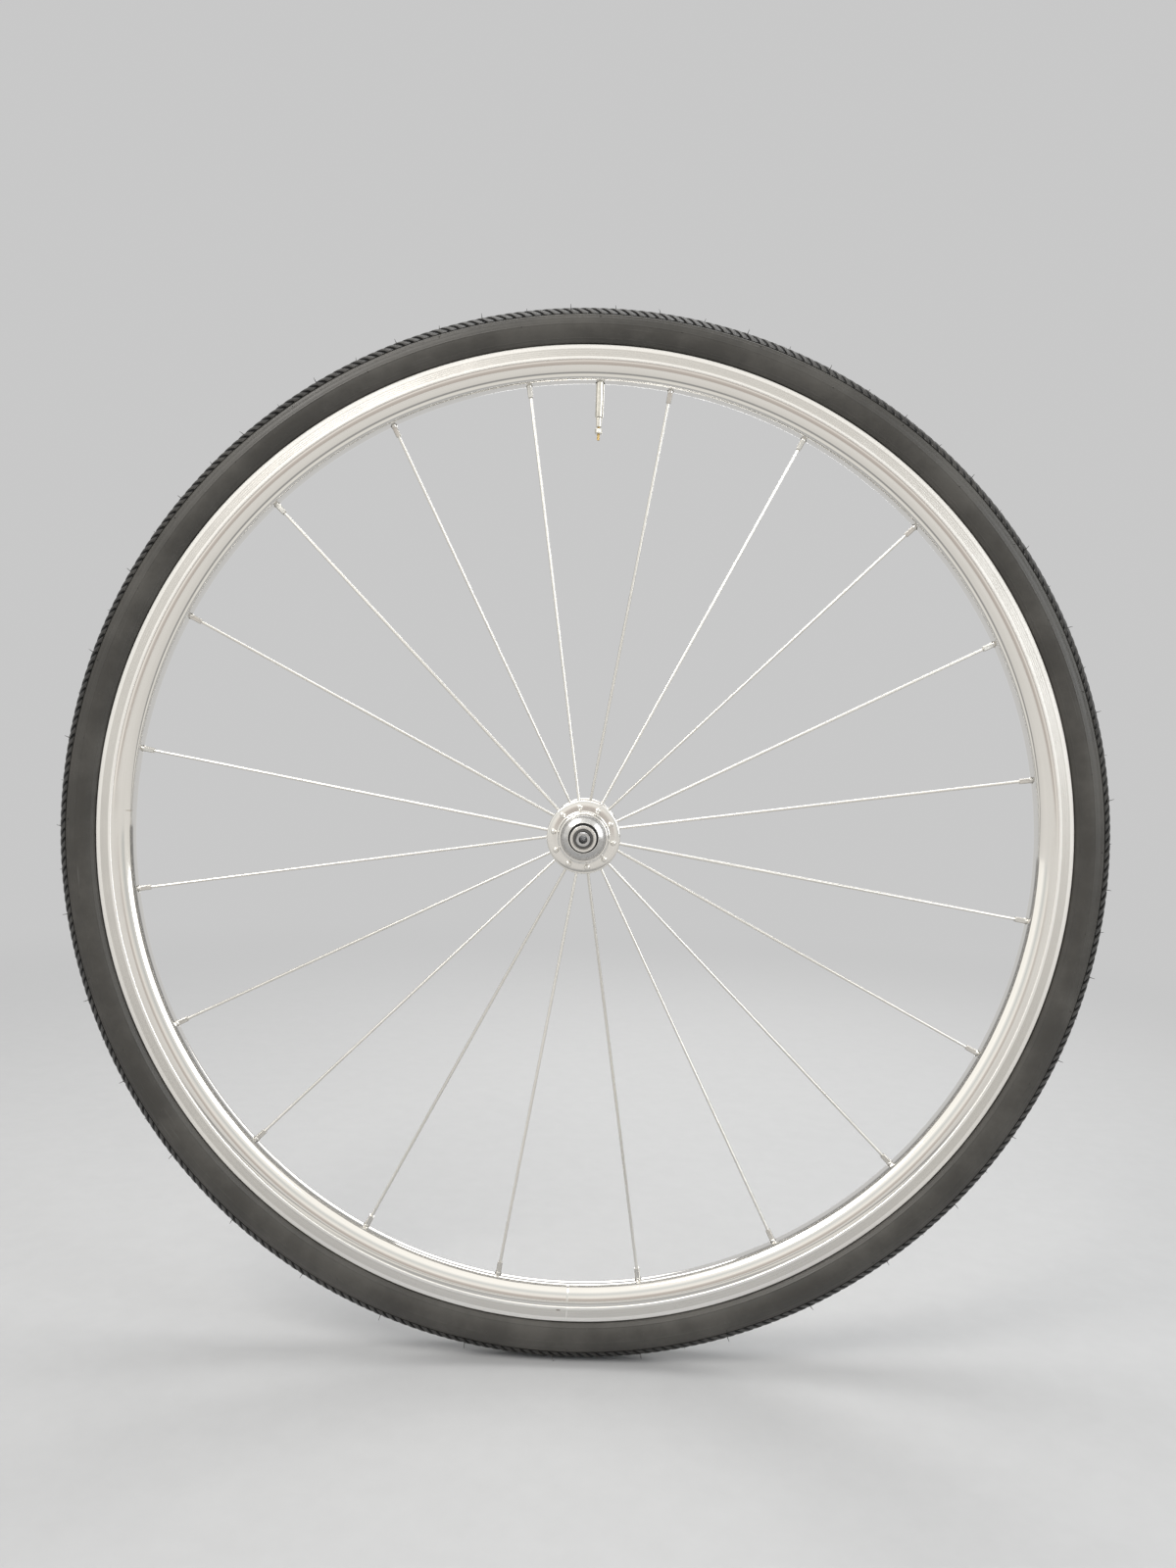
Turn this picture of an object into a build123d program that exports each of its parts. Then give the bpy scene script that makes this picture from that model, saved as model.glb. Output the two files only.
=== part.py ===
from build123d import *
import os
from math import cos, degrees, radians, sin

# Front bicycle wheel, sizes in millimetres
# The origin is the wheel's centre, the axle lies along Y, and the valve stands at the top, +Z
# Right is -Y and left is +Y, as on a bicycle that rides along +X

# Rim
BEAD_SEAT_DIAMETER = 622.0
RIM_FLANGE_HEIGHT = 6.0
RIM_WIDTH = 19.6
RIM_DEPTH = 22.4
BRAKE_TRACK_HEIGHT = 9.8
TRACK_STEP = 0.5
RIM_EDGE_ROUND = 0.6
RIM_FLANGE_WALL = 1.6
RIM_SIDE_WALL = 1.4
SPOKE_BED_WALL = 1.9
BRIDGE_WALL = 1.3
HOOK_DEPTH = 0.8
HOOK_HEIGHT = 2.4
WELL_WIDTH = 10.4
WELL_DEPTH = 1.8
WELL_SLOPE = 0.6
JOINT_SLEEVE_LENGTH = 60.0

# Rim tape, inner tube and tyre
TAPE_THICKNESS = 0.5
TUBE_WALL = 0.9
TYRE_HEIGHT = 31.75
TYRE_WIDTH = 30.0
WIDEST_HEIGHT = 16.4
TREAD_WIDTH = 26.0
TREAD_DROP = 7.4
TREAD_STEP = 0.4
TREAD_THICKNESS = 3.4
CASING_WALL = 1.4
CASING_FOOT = 1.6
FOOT_GAP = 0.5
BEAD_NECK = 1.6
BEAD_TOE = 3.5
BEAD_HEIGHT = 1.9
SIDEWALL_RIB = 0.35
SIDEWALL_RIB_PLACES = (0.06, 0.38, 0.93)

# Spokes and nipples
SPOKES_PER_SIDE = 10
SPOKE_DIAMETER = 2.0
SPOKE_HEAD_DIAMETER = 3.8
SPOKE_HEAD_HEIGHT = 1.3
SPOKE_HEAD_ROUND = 1.0
ELBOW_RADIUS = 2.4
SPOKE_END = 1.0
NIPPLE_DIAMETER = 4.0
NIPPLE_SHANK = 9.4
NIPPLE_FLATS = 3.3
NIPPLE_FLATS_LENGTH = 6.4
NIPPLE_HEAD_DIAMETER = 6.0
NIPPLE_HEAD_HEIGHT = 2.6
NIPPLE_HEAD_ROUND = 1.2
SEAT_CUT = 0.15

# Hub shell
FLANGE_INSET = 20.0
FLANGE_MARGIN = 4.3
FLANGE_THICKNESS = 2.8
FLANGE_EDGE = 1.0
FLANGE_ROOT_INSET = 0.8
SPOKE_HOLE_MARGIN = 3.2
BARREL_WALL = 1.9
BARREL_LENGTH = 20.0
HUB_BORE_INSET = 0.6
BOSS_WALL = 1.8
BOSS_LENGTH = 6.2
BOSS_FILLET = 1.2
BOSS_CHAMFER = 0.8
CAP_SEAT_DEPTH = 3.0
CUP_SEAT_DEPTH = 7.2

# Axle and bearings
OVER_LOCKNUT_WIDTH = 100.0
AXLE_DIAMETER = 9.0
AXLE_TIP_STEP = 0.1
AXLE_TIP_LENGTH = 4.5
AXLE_BORE = 5.2
AXLE_CHAMFER = 0.5
CUP_WALL = 1.039
CUP_LENGTH = 6.4
CUP_FLOOR = 1.5
CUP_HOLE_INSET = 0.5
BALL_DIAMETER = 4.762
BALLS_PER_SIDE = 9
BALL_CIRCLE = 18.4
CAGE_GAP = 0.261
CAGE_WALL = 1.4
CAGE_BACK = 0.8
CAGE_FRONT = 0.6
CONE_NOSE = 2.4
CONE_NOSE_CHAMFER = 0.5
CONE_SHOULDER = 0.9
CONE_TAPER = 0.8
CONE_NECK_INSET = 1.6
CONE_FLAT_CUT = 1.1
CONE_FLATS_LENGTH = 3.2
WASHER_DIAMETER = 16.0
WASHER_THICKNESS = 1.2
LOCKNUT_DIAMETER = 16.2
LOCKNUT_LENGTH = 4.2
LOCKNUT_FLAT_CUT = 0.6
LOCKNUT_RIM = 1.2
LOCKNUT_RING = 1.5
LOCKNUT_RECESS_DEPTH = 1.0

# Dust caps and lip seals
CAP_SEAT_STEP = 1.3
CAP_RISE = 3.0
CAP_WALL = 0.9
CAP_RIM = 0.7
CAP_LIP = 0.5
SEAL_LENGTH = 2.6
SEAL_WIDTH = 1.4
SEAL_INSET = 0.6
SEAL_LIP = 0.8

# Valve
VALVE_STEM_DIAMETER = 5.4
VALVE_REACH = 22.3
VALVE_STEM_BORE = 3.5
VALVE_STEM_CHAMFER = 0.4
VALVE_FOOT_DIAMETER = 6.6
VALVE_FOOT_HEIGHT = 1.0
VALVE_CORE_DIAMETER = 4.2
VALVE_CORE_FLATS = 3.4
VALVE_CORE_REACH = 6.1
VALVE_CORE_BARREL = 12.0
VALVE_PIN_DIAMETER = 1.8
VALVE_PIN_TIP = 4.1
VALVE_PLUG_DIAMETER = 3.0
VALVE_PLUG_LENGTH = 2.0
VALVE_NUT_DIAMETER = 4.8
VALVE_NUT_LENGTH = 3.4
VALVE_NUT_GAP = 1.0
VALVE_NUT_CHAMFER = 0.4

# Clearances, each one measured on the radius or across one face
FIT = 0.03
THREAD_FIT = 0.05
BALL_PLAY = 0.08
CAGE_PLAY = 0.15
SEAL_PLAY = 0.3
SPOKE_HOLE_PLAY = 0.25
NIPPLE_HOLE_PLAY = 0.25
NIPPLE_ACCESS_PLAY = 0.4
TYRE_PLAY = 0.15
TUBE_PLAY = 0.25
TAPE_PLAY = 0.2
SLEEVE_PLAY = 0.15
VALVE_HOLE_PLAY = 0.4
VALVE_PIN_PLAY = 0.15
DRILL_PAST = 2.0

SIDES = {"right": -1, "left": 1}
VALVE_ANGLE = 90.0
SPOKE_STEP = 360.0 / SPOKES_PER_SIDE

# Rim radii and half widths
bead_seat = BEAD_SEAT_DIAMETER / 2
rim_edge = bead_seat + RIM_FLANGE_HEIGHT
rim_bed = rim_edge - RIM_DEPTH
track_foot = rim_edge - BRAKE_TRACK_HEIGHT
rim_half = RIM_WIDTH / 2
channel_half = rim_half - RIM_FLANGE_WALL
hook_half = channel_half - HOOK_DEPTH
hook_foot = rim_edge - HOOK_HEIGHT
well_half = WELL_WIDTH / 2
well_floor = bead_seat - WELL_DEPTH
cavity_top = well_floor - BRIDGE_WALL
cavity_floor = rim_bed + SPOKE_BED_WALL
cavity_half = rim_half - TRACK_STEP - RIM_SIDE_WALL
tape_top = well_floor + FIT + TAPE_THICKNESS

# Tyre radii and half widths
tyre_crown = bead_seat + TYRE_HEIGHT
tyre_widest = bead_seat + WIDEST_HEIGHT
tread_edge = tyre_crown - TREAD_DROP
tread_half = TREAD_WIDTH / 2
tyre_half = TYRE_WIDTH / 2
casing_half = tyre_half - CASING_WALL
casing_crown = tyre_crown - TREAD_THICKNESS
tyre_foot = rim_edge + FOOT_GAP
casing_foot = tyre_foot + CASING_FOOT
neck_half = hook_half - TYRE_PLAY
neck_inner_half = neck_half - BEAD_NECK
toe_half = channel_half - BEAD_TOE

# Distances out from the wheel's middle plane
locknut_face = OVER_LOCKNUT_WIDTH / 2
flange_middle = locknut_face - FLANGE_INSET
flange_inner = flange_middle - FLANGE_THICKNESS / 2
flange_outer = flange_middle + FLANGE_THICKNESS / 2
boss_end = flange_outer + BOSS_LENGTH
cap_seat = boss_end - CAP_SEAT_DEPTH
cup_seat = cap_seat - CUP_SEAT_DEPTH
race = BALL_DIAMETER / 2 + BALL_PLAY
ball_plane = cup_seat + FIT + CUP_FLOOR + race
cap_face = boss_end + CAP_RISE
locknut_seat = locknut_face - LOCKNUT_LENGTH
cone_end = locknut_seat - WASHER_THICKNESS

# Hub radii, from the bearing out to the flange's edge
axle_thread = AXLE_DIAMETER / 2 + THREAD_FIT
axle_tip = AXLE_DIAMETER / 2 - AXLE_TIP_STEP
ball_circle = BALL_CIRCLE / 2
cone_neck = ball_circle - CONE_NECK_INSET
cup_hole = ball_circle - CUP_HOLE_INSET
cup_radius = ball_circle + race + CUP_WALL
cap_radius = cup_radius + CAP_SEAT_STEP
cap_hole = cone_neck + SEAL_WIDTH + SEAL_PLAY
hub_bore = ball_circle - HUB_BORE_INSET
barrel_radius = hub_bore + BARREL_WALL
boss_radius = cap_radius + BOSS_WALL
flange_root = boss_radius - FLANGE_ROOT_INSET
spoke_hole = boss_radius + SPOKE_HOLE_MARGIN
flange_radius = spoke_hole + FLANGE_MARGIN
locknut_radius = LOCKNUT_DIAMETER / 2

# A spoke in its own plane: first number out from the axle, second number outboard
nipple_seat = cavity_floor - SEAT_CUT
elbow = Vector(spoke_hole, flange_inner - ELBOW_RADIUS)
seat_point = Vector(nipple_seat, 0)
spoke_line = (seat_point - elbow).normalized()

# Heights of the valve's pieces above the axle
stem_end = rim_bed - VALVE_REACH
tube_floor = tape_top + TUBE_PLAY
valve_foot = tube_floor + TUBE_WALL + THREAD_FIT
core_end = stem_end - VALVE_CORE_REACH
core_inner_end = stem_end + VALVE_CORE_BARREL
nut_top = core_end - VALVE_NUT_GAP
nut_bottom = nut_top - VALVE_NUT_LENGTH
pin_tip = nut_bottom - VALVE_PIN_TIP


def section_plane(side):
    """Plane through the axle: x is the radius, y runs outboard on the given side."""
    return Plane(origin=(0, 0, 0), x_dir=(1, 0, 0), z_dir=(0, 0, side))


def spoke_plane(angle, side):
    """Plane through the axle and one spoke: x runs out along the spoke, y runs outboard."""
    outward = Vector(cos(radians(angle)), 0, sin(radians(angle)))
    return Plane(origin=(0, 0, 0), x_dir=outward, z_dir=outward.cross(Vector(0, side, 0)))


def nipple_plane(angle, side):
    """Plane of one nipple's seat: z runs out along the spoke."""
    plane = spoke_plane(angle, side)
    foot = plane.from_local_coords(seat_point)
    along = foot - plane.from_local_coords(elbow)
    return Plane(origin=foot, x_dir=plane.z_dir, z_dir=along)


def spoke_angles(side):
    """Angles of one flange's spokes, half a step apart from the other flange's."""
    first = VALVE_ANGLE - side * SPOKE_STEP / 4
    return [first + SPOKE_STEP * number for number in range(SPOKES_PER_SIDE)]


def save(builder, name):
    """Label a finished piece and write it."""
    builder.part.label = name
    export_step(builder.part, f"parts/{name}.step")


os.makedirs("parts", exist_ok=True)
nipple_planes = {
    name: [nipple_plane(angle, side) for angle in spoke_angles(side)] for name, side in SIDES.items()
}

# Rim: a hollow extrusion with hooked flanges, a well for the tape and drilled spoke and valve holes
with BuildPart() as rim:
    with BuildSketch(Plane.XY):
        with BuildLine():
            EllipticalCenterArc(
                (track_foot, 0), track_foot - rim_bed, rim_half - TRACK_STEP, start_angle=90, arc_size=90
            )
            Polyline(
                (track_foot, rim_half - TRACK_STEP),
                (track_foot + TRACK_STEP, rim_half),
                (rim_edge - RIM_EDGE_ROUND, rim_half),
            )
            RadiusArc(
                (rim_edge - RIM_EDGE_ROUND, rim_half),
                (rim_edge, rim_half - RIM_EDGE_ROUND),
                RIM_EDGE_ROUND,
            )
            Polyline(
                (rim_edge, rim_half - RIM_EDGE_ROUND),
                (rim_edge, hook_half),
                (hook_foot, hook_half),
                (hook_foot - HOOK_DEPTH, channel_half),
                (bead_seat, channel_half),
                (bead_seat, well_half),
                (well_floor, well_half - WELL_SLOPE),
                (well_floor, 0),
            )
            mirror(about=Plane.XZ)
        make_face()
        with BuildLine():
            EllipticalCenterArc(
                (cavity_top, 0), cavity_top - cavity_floor, cavity_half, start_angle=90, arc_size=180
            )
            Line((cavity_top, -cavity_half), (cavity_top, cavity_half))
        make_face(mode=Mode.SUBTRACT)
    revolve(axis=Axis.Y)
    for planes in nipple_planes.values():
        with Locations(*[plane.offset(well_floor - nipple_seat) for plane in planes]):
            CounterBoreHole(
                radius=NIPPLE_DIAMETER / 2 + NIPPLE_HOLE_PLAY,
                counter_bore_radius=NIPPLE_HEAD_DIAMETER / 2 + NIPPLE_ACCESS_PLAY,
                counter_bore_depth=well_floor - nipple_seat,
                depth=well_floor - rim_bed + DRILL_PAST,
            )
    with Locations(Plane.XY.offset(rim_edge)):
        Hole(VALVE_STEM_DIAMETER / 2 + VALVE_HOLE_PLAY, depth=RIM_DEPTH + DRILL_PAST)
save(rim, "rim")

# Joint sleeve: a plug inside the rim's seam, opposite the valve
sleeve_angle = degrees(JOINT_SLEEVE_LENGTH / cavity_top)
with BuildPart() as joint_sleeve:
    with BuildSketch(spoke_plane(VALVE_ANGLE + 180 + sleeve_angle / 2, 1)):
        with BuildLine():
            EllipticalCenterArc(
                (cavity_top - SLEEVE_PLAY, 0),
                cavity_top - cavity_floor - 2 * SLEEVE_PLAY,
                cavity_half - SLEEVE_PLAY,
                start_angle=90,
                arc_size=180,
            )
            Line(
                (cavity_top - SLEEVE_PLAY, SLEEVE_PLAY - cavity_half),
                (cavity_top - SLEEVE_PLAY, cavity_half - SLEEVE_PLAY),
            )
        make_face()
    revolve(axis=Axis.Y, revolution_arc=sleeve_angle)
save(joint_sleeve, "rim_joint_sleeve")

# Rim tape: a flat band in the well
with BuildPart() as rim_tape:
    with BuildSketch(Plane.XY):
        with Locations(((well_floor + FIT + tape_top) / 2, 0)):
            Rectangle(TAPE_THICKNESS, WELL_WIDTH - 2 * WELL_SLOPE - 2 * TAPE_PLAY)
    revolve(axis=Axis.Y)
    with Locations(Plane.XY.offset(rim_edge)):
        Hole(VALVE_STEM_DIAMETER / 2 + VALVE_HOLE_PLAY, depth=RIM_DEPTH)
save(rim_tape, "rim_tape")

# Inner tube: blown up against the casing, with a hole for the valve stem
with BuildPart() as inner_tube:
    with BuildSketch(Plane.XY):
        with BuildLine():
            over = ThreePointArc(
                (tyre_widest, TUBE_PLAY - casing_half),
                (casing_crown - TUBE_PLAY, 0),
                (tyre_widest, casing_half - TUBE_PLAY),
            )
            under = TangentArc(
                over @ 1, (casing_foot + TUBE_PLAY, neck_inner_half - TUBE_PLAY), tangent=(-1, 0)
            )
            throat = Polyline(
                under @ 1,
                (bead_seat + BEAD_HEIGHT, toe_half - TUBE_PLAY),
                (tube_floor, toe_half - TUBE_PLAY),
                (tube_floor, 0),
            )
            mirror(under, about=Plane.XZ)
            mirror(throat, about=Plane.XZ)
        make_face()
        offset(amount=-TUBE_WALL, mode=Mode.SUBTRACT)
    revolve(axis=Axis.Y)
    with Locations(Plane.XY.offset(tyre_widest)):
        Hole(VALVE_STEM_DIAMETER / 2 + THREAD_FIT, depth=tyre_widest - well_floor)
save(inner_tube, "inner_tube")

# Tyre: a casing with beads under the rim's hooks, a raised tread and rings round its sidewalls
with BuildPart() as tyre:
    with BuildSketch(Plane.XY):
        with BuildLine():
            ThreePointArc((tread_edge, -tread_half), (tyre_crown, 0), (tread_edge, tread_half))
            step = Line((tread_edge, tread_half), (tread_edge - TREAD_STEP, tread_half))
            sidewall = ThreePointArc(step @ 1, (tyre_widest, tyre_half), (tyre_foot, rim_half + CASING_FOOT))
            bead = Polyline(
                sidewall @ 1,
                (tyre_foot, neck_half),
                (hook_foot - TYRE_PLAY, neck_half),
                (hook_foot - TYRE_PLAY - HOOK_DEPTH, channel_half - TYRE_PLAY),
                (bead_seat + TYRE_PLAY, channel_half - TYRE_PLAY),
                (bead_seat + TYRE_PLAY, toe_half),
                (bead_seat + BEAD_HEIGHT, neck_inner_half),
                (casing_foot, neck_inner_half),
            )
            lining = TangentArc((tyre_widest, casing_half), bead @ 1, tangent=(-1, 0))
            for edge in (step, sidewall, bead, lining):
                mirror(edge, about=Plane.XZ)
            ThreePointArc((tyre_widest, -casing_half), (casing_crown, 0), (tyre_widest, casing_half))
        make_face()
        ribs = [sidewall @ place for place in SIDEWALL_RIB_PLACES]
        with Locations(*ribs, *[(rib.X, -rib.Y) for rib in ribs]):
            Circle(SIDEWALL_RIB)
    revolve(axis=Axis.Y)
save(tyre, "tyre")

# Hub shell: a waisted barrel between two drilled flanges, with a bearing seat in each end
with BuildPart() as hub_shell:
    with BuildSketch(Plane.XY):
        with BuildLine():
            barrel = Line((barrel_radius, 0), (barrel_radius, BARREL_LENGTH / 2))
            flare = TangentArc(barrel @ 1, (flange_root, flange_inner), tangent=barrel % 1)
            face = Line(flare @ 1, (flange_radius - FLANGE_EDGE, flange_inner))
            edge = ThreePointArc(
                face @ 1,
                (flange_radius, flange_middle),
                (flange_radius - FLANGE_EDGE, flange_outer),
            )
            web = Line(edge @ 1, (boss_radius + BOSS_FILLET, flange_outer))
            root = RadiusArc(web @ 1, (boss_radius, flange_outer + BOSS_FILLET), BOSS_FILLET)
            Polyline(
                root @ 1,
                (boss_radius, boss_end - BOSS_CHAMFER),
                (boss_radius - BOSS_CHAMFER, boss_end),
                (cap_radius + FIT, boss_end),
                (cap_radius + FIT, cap_seat),
                (cup_radius + FIT, cap_seat),
                (cup_radius + FIT, cup_seat),
                (hub_bore, cup_seat),
                (hub_bore, 0),
            )
            mirror(about=Plane.XZ)
        make_face()
    revolve(axis=Axis.Y)
    for side in SIDES.values():
        with Locations(Plane.XZ.offset(-side * flange_outer)):
            with PolarLocations(spoke_hole, SPOKES_PER_SIDE, start_angle=spoke_angles(side)[0]):
                Cylinder(
                    SPOKE_DIAMETER / 2 + SPOKE_HOLE_PLAY,
                    2 * (FLANGE_THICKNESS + DRILL_PAST),
                    mode=Mode.SUBTRACT,
                )
save(hub_shell, "hub_shell")

# Spoke, drawn in one plane: a domed head, an elbow at the flange and a straight run to the rim
with BuildPart() as spoke:
    with BuildLine(Plane.XY) as spoke_path:
        FilletPolyline(
            (spoke_hole, flange_outer),
            elbow,
            seat_point + spoke_line * SPOKE_END,
            radius=ELBOW_RADIUS,
        )
    with BuildSketch(Plane(origin=(spoke_hole, flange_outer, 0), z_dir=(0, -1, 0))):
        Circle(SPOKE_DIAMETER / 2)
    sweep()
    with BuildSketch(Plane(origin=(spoke_hole, flange_outer, 0), z_dir=(0, 1, 0))):
        Circle(SPOKE_HEAD_DIAMETER / 2)
    extrude(amount=SPOKE_HEAD_HEIGHT)
    fillet(faces().sort_by(Axis.Y)[-1].edges(), SPOKE_HEAD_ROUND)

for side_name, side in SIDES.items():
    for number, angle in enumerate(spoke_angles(side), start=1):
        with BuildPart() as placed_spoke:
            with Locations(spoke_plane(angle, side)):
                add(spoke.part)
        save(placed_spoke, f"spoke_{side_name}_{number:02d}")

# Nipple, drawn along Z from its seat: a round head in the rim and a squared shank for the key
with BuildPart() as nipple:
    with BuildSketch(Plane.XY):
        Circle(NIPPLE_HEAD_DIAMETER / 2)
    extrude(amount=NIPPLE_HEAD_HEIGHT)
    fillet(faces().sort_by(Axis.Z)[-1].edges(), NIPPLE_HEAD_ROUND)
    with BuildSketch(Plane.XY):
        Circle(NIPPLE_DIAMETER / 2)
    extrude(amount=NIPPLE_FLATS_LENGTH - NIPPLE_SHANK)
    with BuildSketch(Plane.XY.offset(NIPPLE_FLATS_LENGTH - NIPPLE_SHANK)):
        Circle(NIPPLE_DIAMETER / 2)
        Rectangle(NIPPLE_FLATS, NIPPLE_FLATS, mode=Mode.INTERSECT)
    extrude(amount=-NIPPLE_FLATS_LENGTH)
    with Locations(Plane.XY.offset(NIPPLE_HEAD_HEIGHT)):
        Hole(SPOKE_DIAMETER / 2 + THREAD_FIT)

for side_name, planes in nipple_planes.items():
    with BuildPart() as nipples:
        with Locations(*planes):
            add(nipple.part)
    save(nipples, f"nipples_{side_name}")

# Axle: a hollow rod, open from end to end for a skewer, with a turned tip for each fork slot
with BuildPart() as axle:
    with BuildSketch(Plane.XZ):
        Circle(axle_tip)
    extrude(amount=locknut_face + AXLE_TIP_LENGTH, both=True)
    chamfer(edges().filter_by(GeomType.CIRCLE), AXLE_CHAMFER)
    with BuildSketch(Plane.XZ):
        Circle(AXLE_DIAMETER / 2)
    extrude(amount=locknut_face, both=True)
    with Locations(Plane.XZ):
        Hole(AXLE_BORE / 2)
save(axle, "axle")

for side_name, side in SIDES.items():
    # Bearing cup: pressed into the hub shell, with a quarter-round race that faces outboard
    with BuildPart() as bearing_cup:
        with BuildSketch(section_plane(side)):
            with BuildLine():
                cup_race = RadiusArc((ball_circle, ball_plane - race), (ball_circle + race, ball_plane), -race)
                Polyline(
                    cup_race @ 1,
                    (ball_circle + race, cup_seat + FIT + CUP_LENGTH),
                    (cup_radius, cup_seat + FIT + CUP_LENGTH),
                    (cup_radius, cup_seat + FIT),
                    (cup_hole, cup_seat + FIT),
                    (cup_hole, ball_plane - race),
                    cup_race @ 0,
                )
            make_face()
        revolve(axis=Axis.Y)
    save(bearing_cup, f"bearing_cup_{side_name}")

    # Bearing balls: one ring, touching cup and cone
    with BuildPart() as bearing_balls:
        with Locations(Plane.XZ.offset(-side * ball_plane)):
            with PolarLocations(ball_circle, BALLS_PER_SIDE):
                Sphere(BALL_DIAMETER / 2)
    save(bearing_balls, f"bearing_balls_{side_name}")

    # Ball cage: a ring with a back outboard of the balls and an open pocket for each ball
    cage_middle = ball_circle + race - CAGE_GAP - CAGE_WALL / 2
    cage_depth = CAGE_FRONT + BALL_DIAMETER / 2 + CAGE_BACK
    with BuildPart() as ball_cage:
        with BuildSketch(section_plane(side)):
            with Locations((cage_middle, ball_plane - CAGE_FRONT + cage_depth / 2)):
                Rectangle(CAGE_WALL, cage_depth)
        revolve(axis=Axis.Y)
        with Locations(Plane.XZ.offset(-side * ball_plane)):
            with PolarLocations(ball_circle, BALLS_PER_SIDE):
                Sphere(BALL_DIAMETER / 2 + CAGE_PLAY, mode=Mode.SUBTRACT)
    save(ball_cage, f"ball_cage_{side_name}")

    # Bearing cone: a quarter-round race that faces inboard, and a neck with flats for a thin key
    with BuildPart() as bearing_cone:
        with BuildSketch(section_plane(side)):
            with BuildLine():
                cone_race = RadiusArc((ball_circle - race, ball_plane), (ball_circle, ball_plane + race), race)
                Polyline(
                    cone_race @ 1,
                    (ball_circle, ball_plane + race + CONE_SHOULDER),
                    (cone_neck, ball_plane + race + CONE_SHOULDER + CONE_TAPER),
                    (cone_neck, cone_end),
                    (axle_thread, cone_end),
                    (axle_thread, ball_plane - CONE_NOSE),
                    (ball_circle - race - CONE_NOSE_CHAMFER, ball_plane - CONE_NOSE),
                    (ball_circle - race, ball_plane - CONE_NOSE + CONE_NOSE_CHAMFER),
                    cone_race @ 0,
                )
            make_face()
        revolve(axis=Axis.Y)
        with BuildSketch(Plane.XZ.offset(-side * cone_end)):
            Circle(cone_neck)
            Rectangle(2 * cone_neck, 2 * (cone_neck - CONE_FLAT_CUT), mode=Mode.SUBTRACT)
        extrude(amount=side * CONE_FLATS_LENGTH, mode=Mode.SUBTRACT)
    save(bearing_cone, f"bearing_cone_{side_name}")

    # Lip seal: a rubber ring on the cone's neck, inside the dust cap's hole
    seal_end = cap_face - SEAL_INSET
    with BuildPart() as lip_seal:
        with BuildSketch(section_plane(side)):
            with BuildLine():
                Polyline(
                    (cone_neck + FIT, seal_end - SEAL_LENGTH),
                    (cone_neck + FIT, seal_end),
                    (cone_neck + SEAL_WIDTH, seal_end),
                    (cone_neck + SEAL_WIDTH, seal_end - SEAL_LIP),
                    (cone_neck + SEAL_LIP, seal_end - SEAL_LENGTH),
                    close=True,
                )
            make_face()
        revolve(axis=Axis.Y)
    save(lip_seal, f"lip_seal_{side_name}")

    # Dust cap: a stamped dish, pressed into the hub shell's mouth
    with BuildPart() as dust_cap:
        with BuildSketch(section_plane(side)):
            with BuildLine():
                Polyline(
                    (cap_radius, cap_seat + FIT),
                    (cap_radius, boss_end + CAP_RIM / 2),
                    (cap_radius - CAP_RIM / 2, boss_end + CAP_RIM),
                    (cap_radius - CAP_RIM, boss_end + CAP_RIM),
                    (cap_radius - CAP_RIM, boss_end + CAP_RIM / 2),
                    (cap_hole + CAP_LIP, cap_face - CAP_LIP),
                    (cap_hole + CAP_LIP, cap_face),
                    (cap_hole, cap_face),
                    (cap_hole, cap_face - CAP_LIP - CAP_WALL),
                    (cap_radius - CAP_WALL, boss_end - CAP_WALL),
                    (cap_radius - CAP_WALL, cap_seat + FIT),
                    close=True,
                )
            make_face()
        revolve(axis=Axis.Y)
    save(dust_cap, f"dust_cap_{side_name}")

    # Lock washer: a flat ring between cone and locknut
    with BuildPart() as lock_washer:
        with BuildSketch(Plane.XZ.offset(-side * cone_end)):
            Circle(WASHER_DIAMETER / 2)
            Circle(axle_thread, mode=Mode.SUBTRACT)
        extrude(amount=-side * WASHER_THICKNESS)
    save(lock_washer, f"lock_washer_{side_name}")

    # Locknut: round at its outer face, with a recess round the axle and flats for a key behind
    with BuildPart() as locknut:
        with BuildSketch(Plane.XZ.offset(-side * locknut_seat)):
            Circle(locknut_radius)
            Circle(axle_thread, mode=Mode.SUBTRACT)
        extrude(amount=-side * LOCKNUT_LENGTH)
        with BuildSketch(Plane.XZ.offset(-side * locknut_face)):
            Circle(locknut_radius - LOCKNUT_RING)
        extrude(amount=side * LOCKNUT_RECESS_DEPTH, mode=Mode.SUBTRACT)
        with BuildSketch(Plane.XZ.offset(-side * locknut_seat)):
            Circle(locknut_radius)
            Rectangle(2 * locknut_radius, 2 * (locknut_radius - LOCKNUT_FLAT_CUT), mode=Mode.SUBTRACT)
        extrude(amount=-side * (LOCKNUT_LENGTH - LOCKNUT_RIM), mode=Mode.SUBTRACT)
    save(locknut, f"locknut_{side_name}")

# Valve stem: a smooth tube through the rim, with a foot inside the inner tube
with BuildPart() as valve_stem:
    with BuildSketch(Plane.XY.offset(stem_end)):
        Circle(VALVE_STEM_DIAMETER / 2)
    extrude(amount=valve_foot - stem_end)
    chamfer(faces().sort_by(Axis.Z)[0].edges(), VALVE_STEM_CHAMFER)
    with BuildSketch(Plane.XY.offset(valve_foot)):
        Circle(VALVE_FOOT_DIAMETER / 2)
    extrude(amount=VALVE_FOOT_HEIGHT)
    with Locations(Plane.XY.offset(valve_foot + VALVE_FOOT_HEIGHT)):
        Hole(VALVE_STEM_BORE / 2)
save(valve_stem, "valve_stem")

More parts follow.
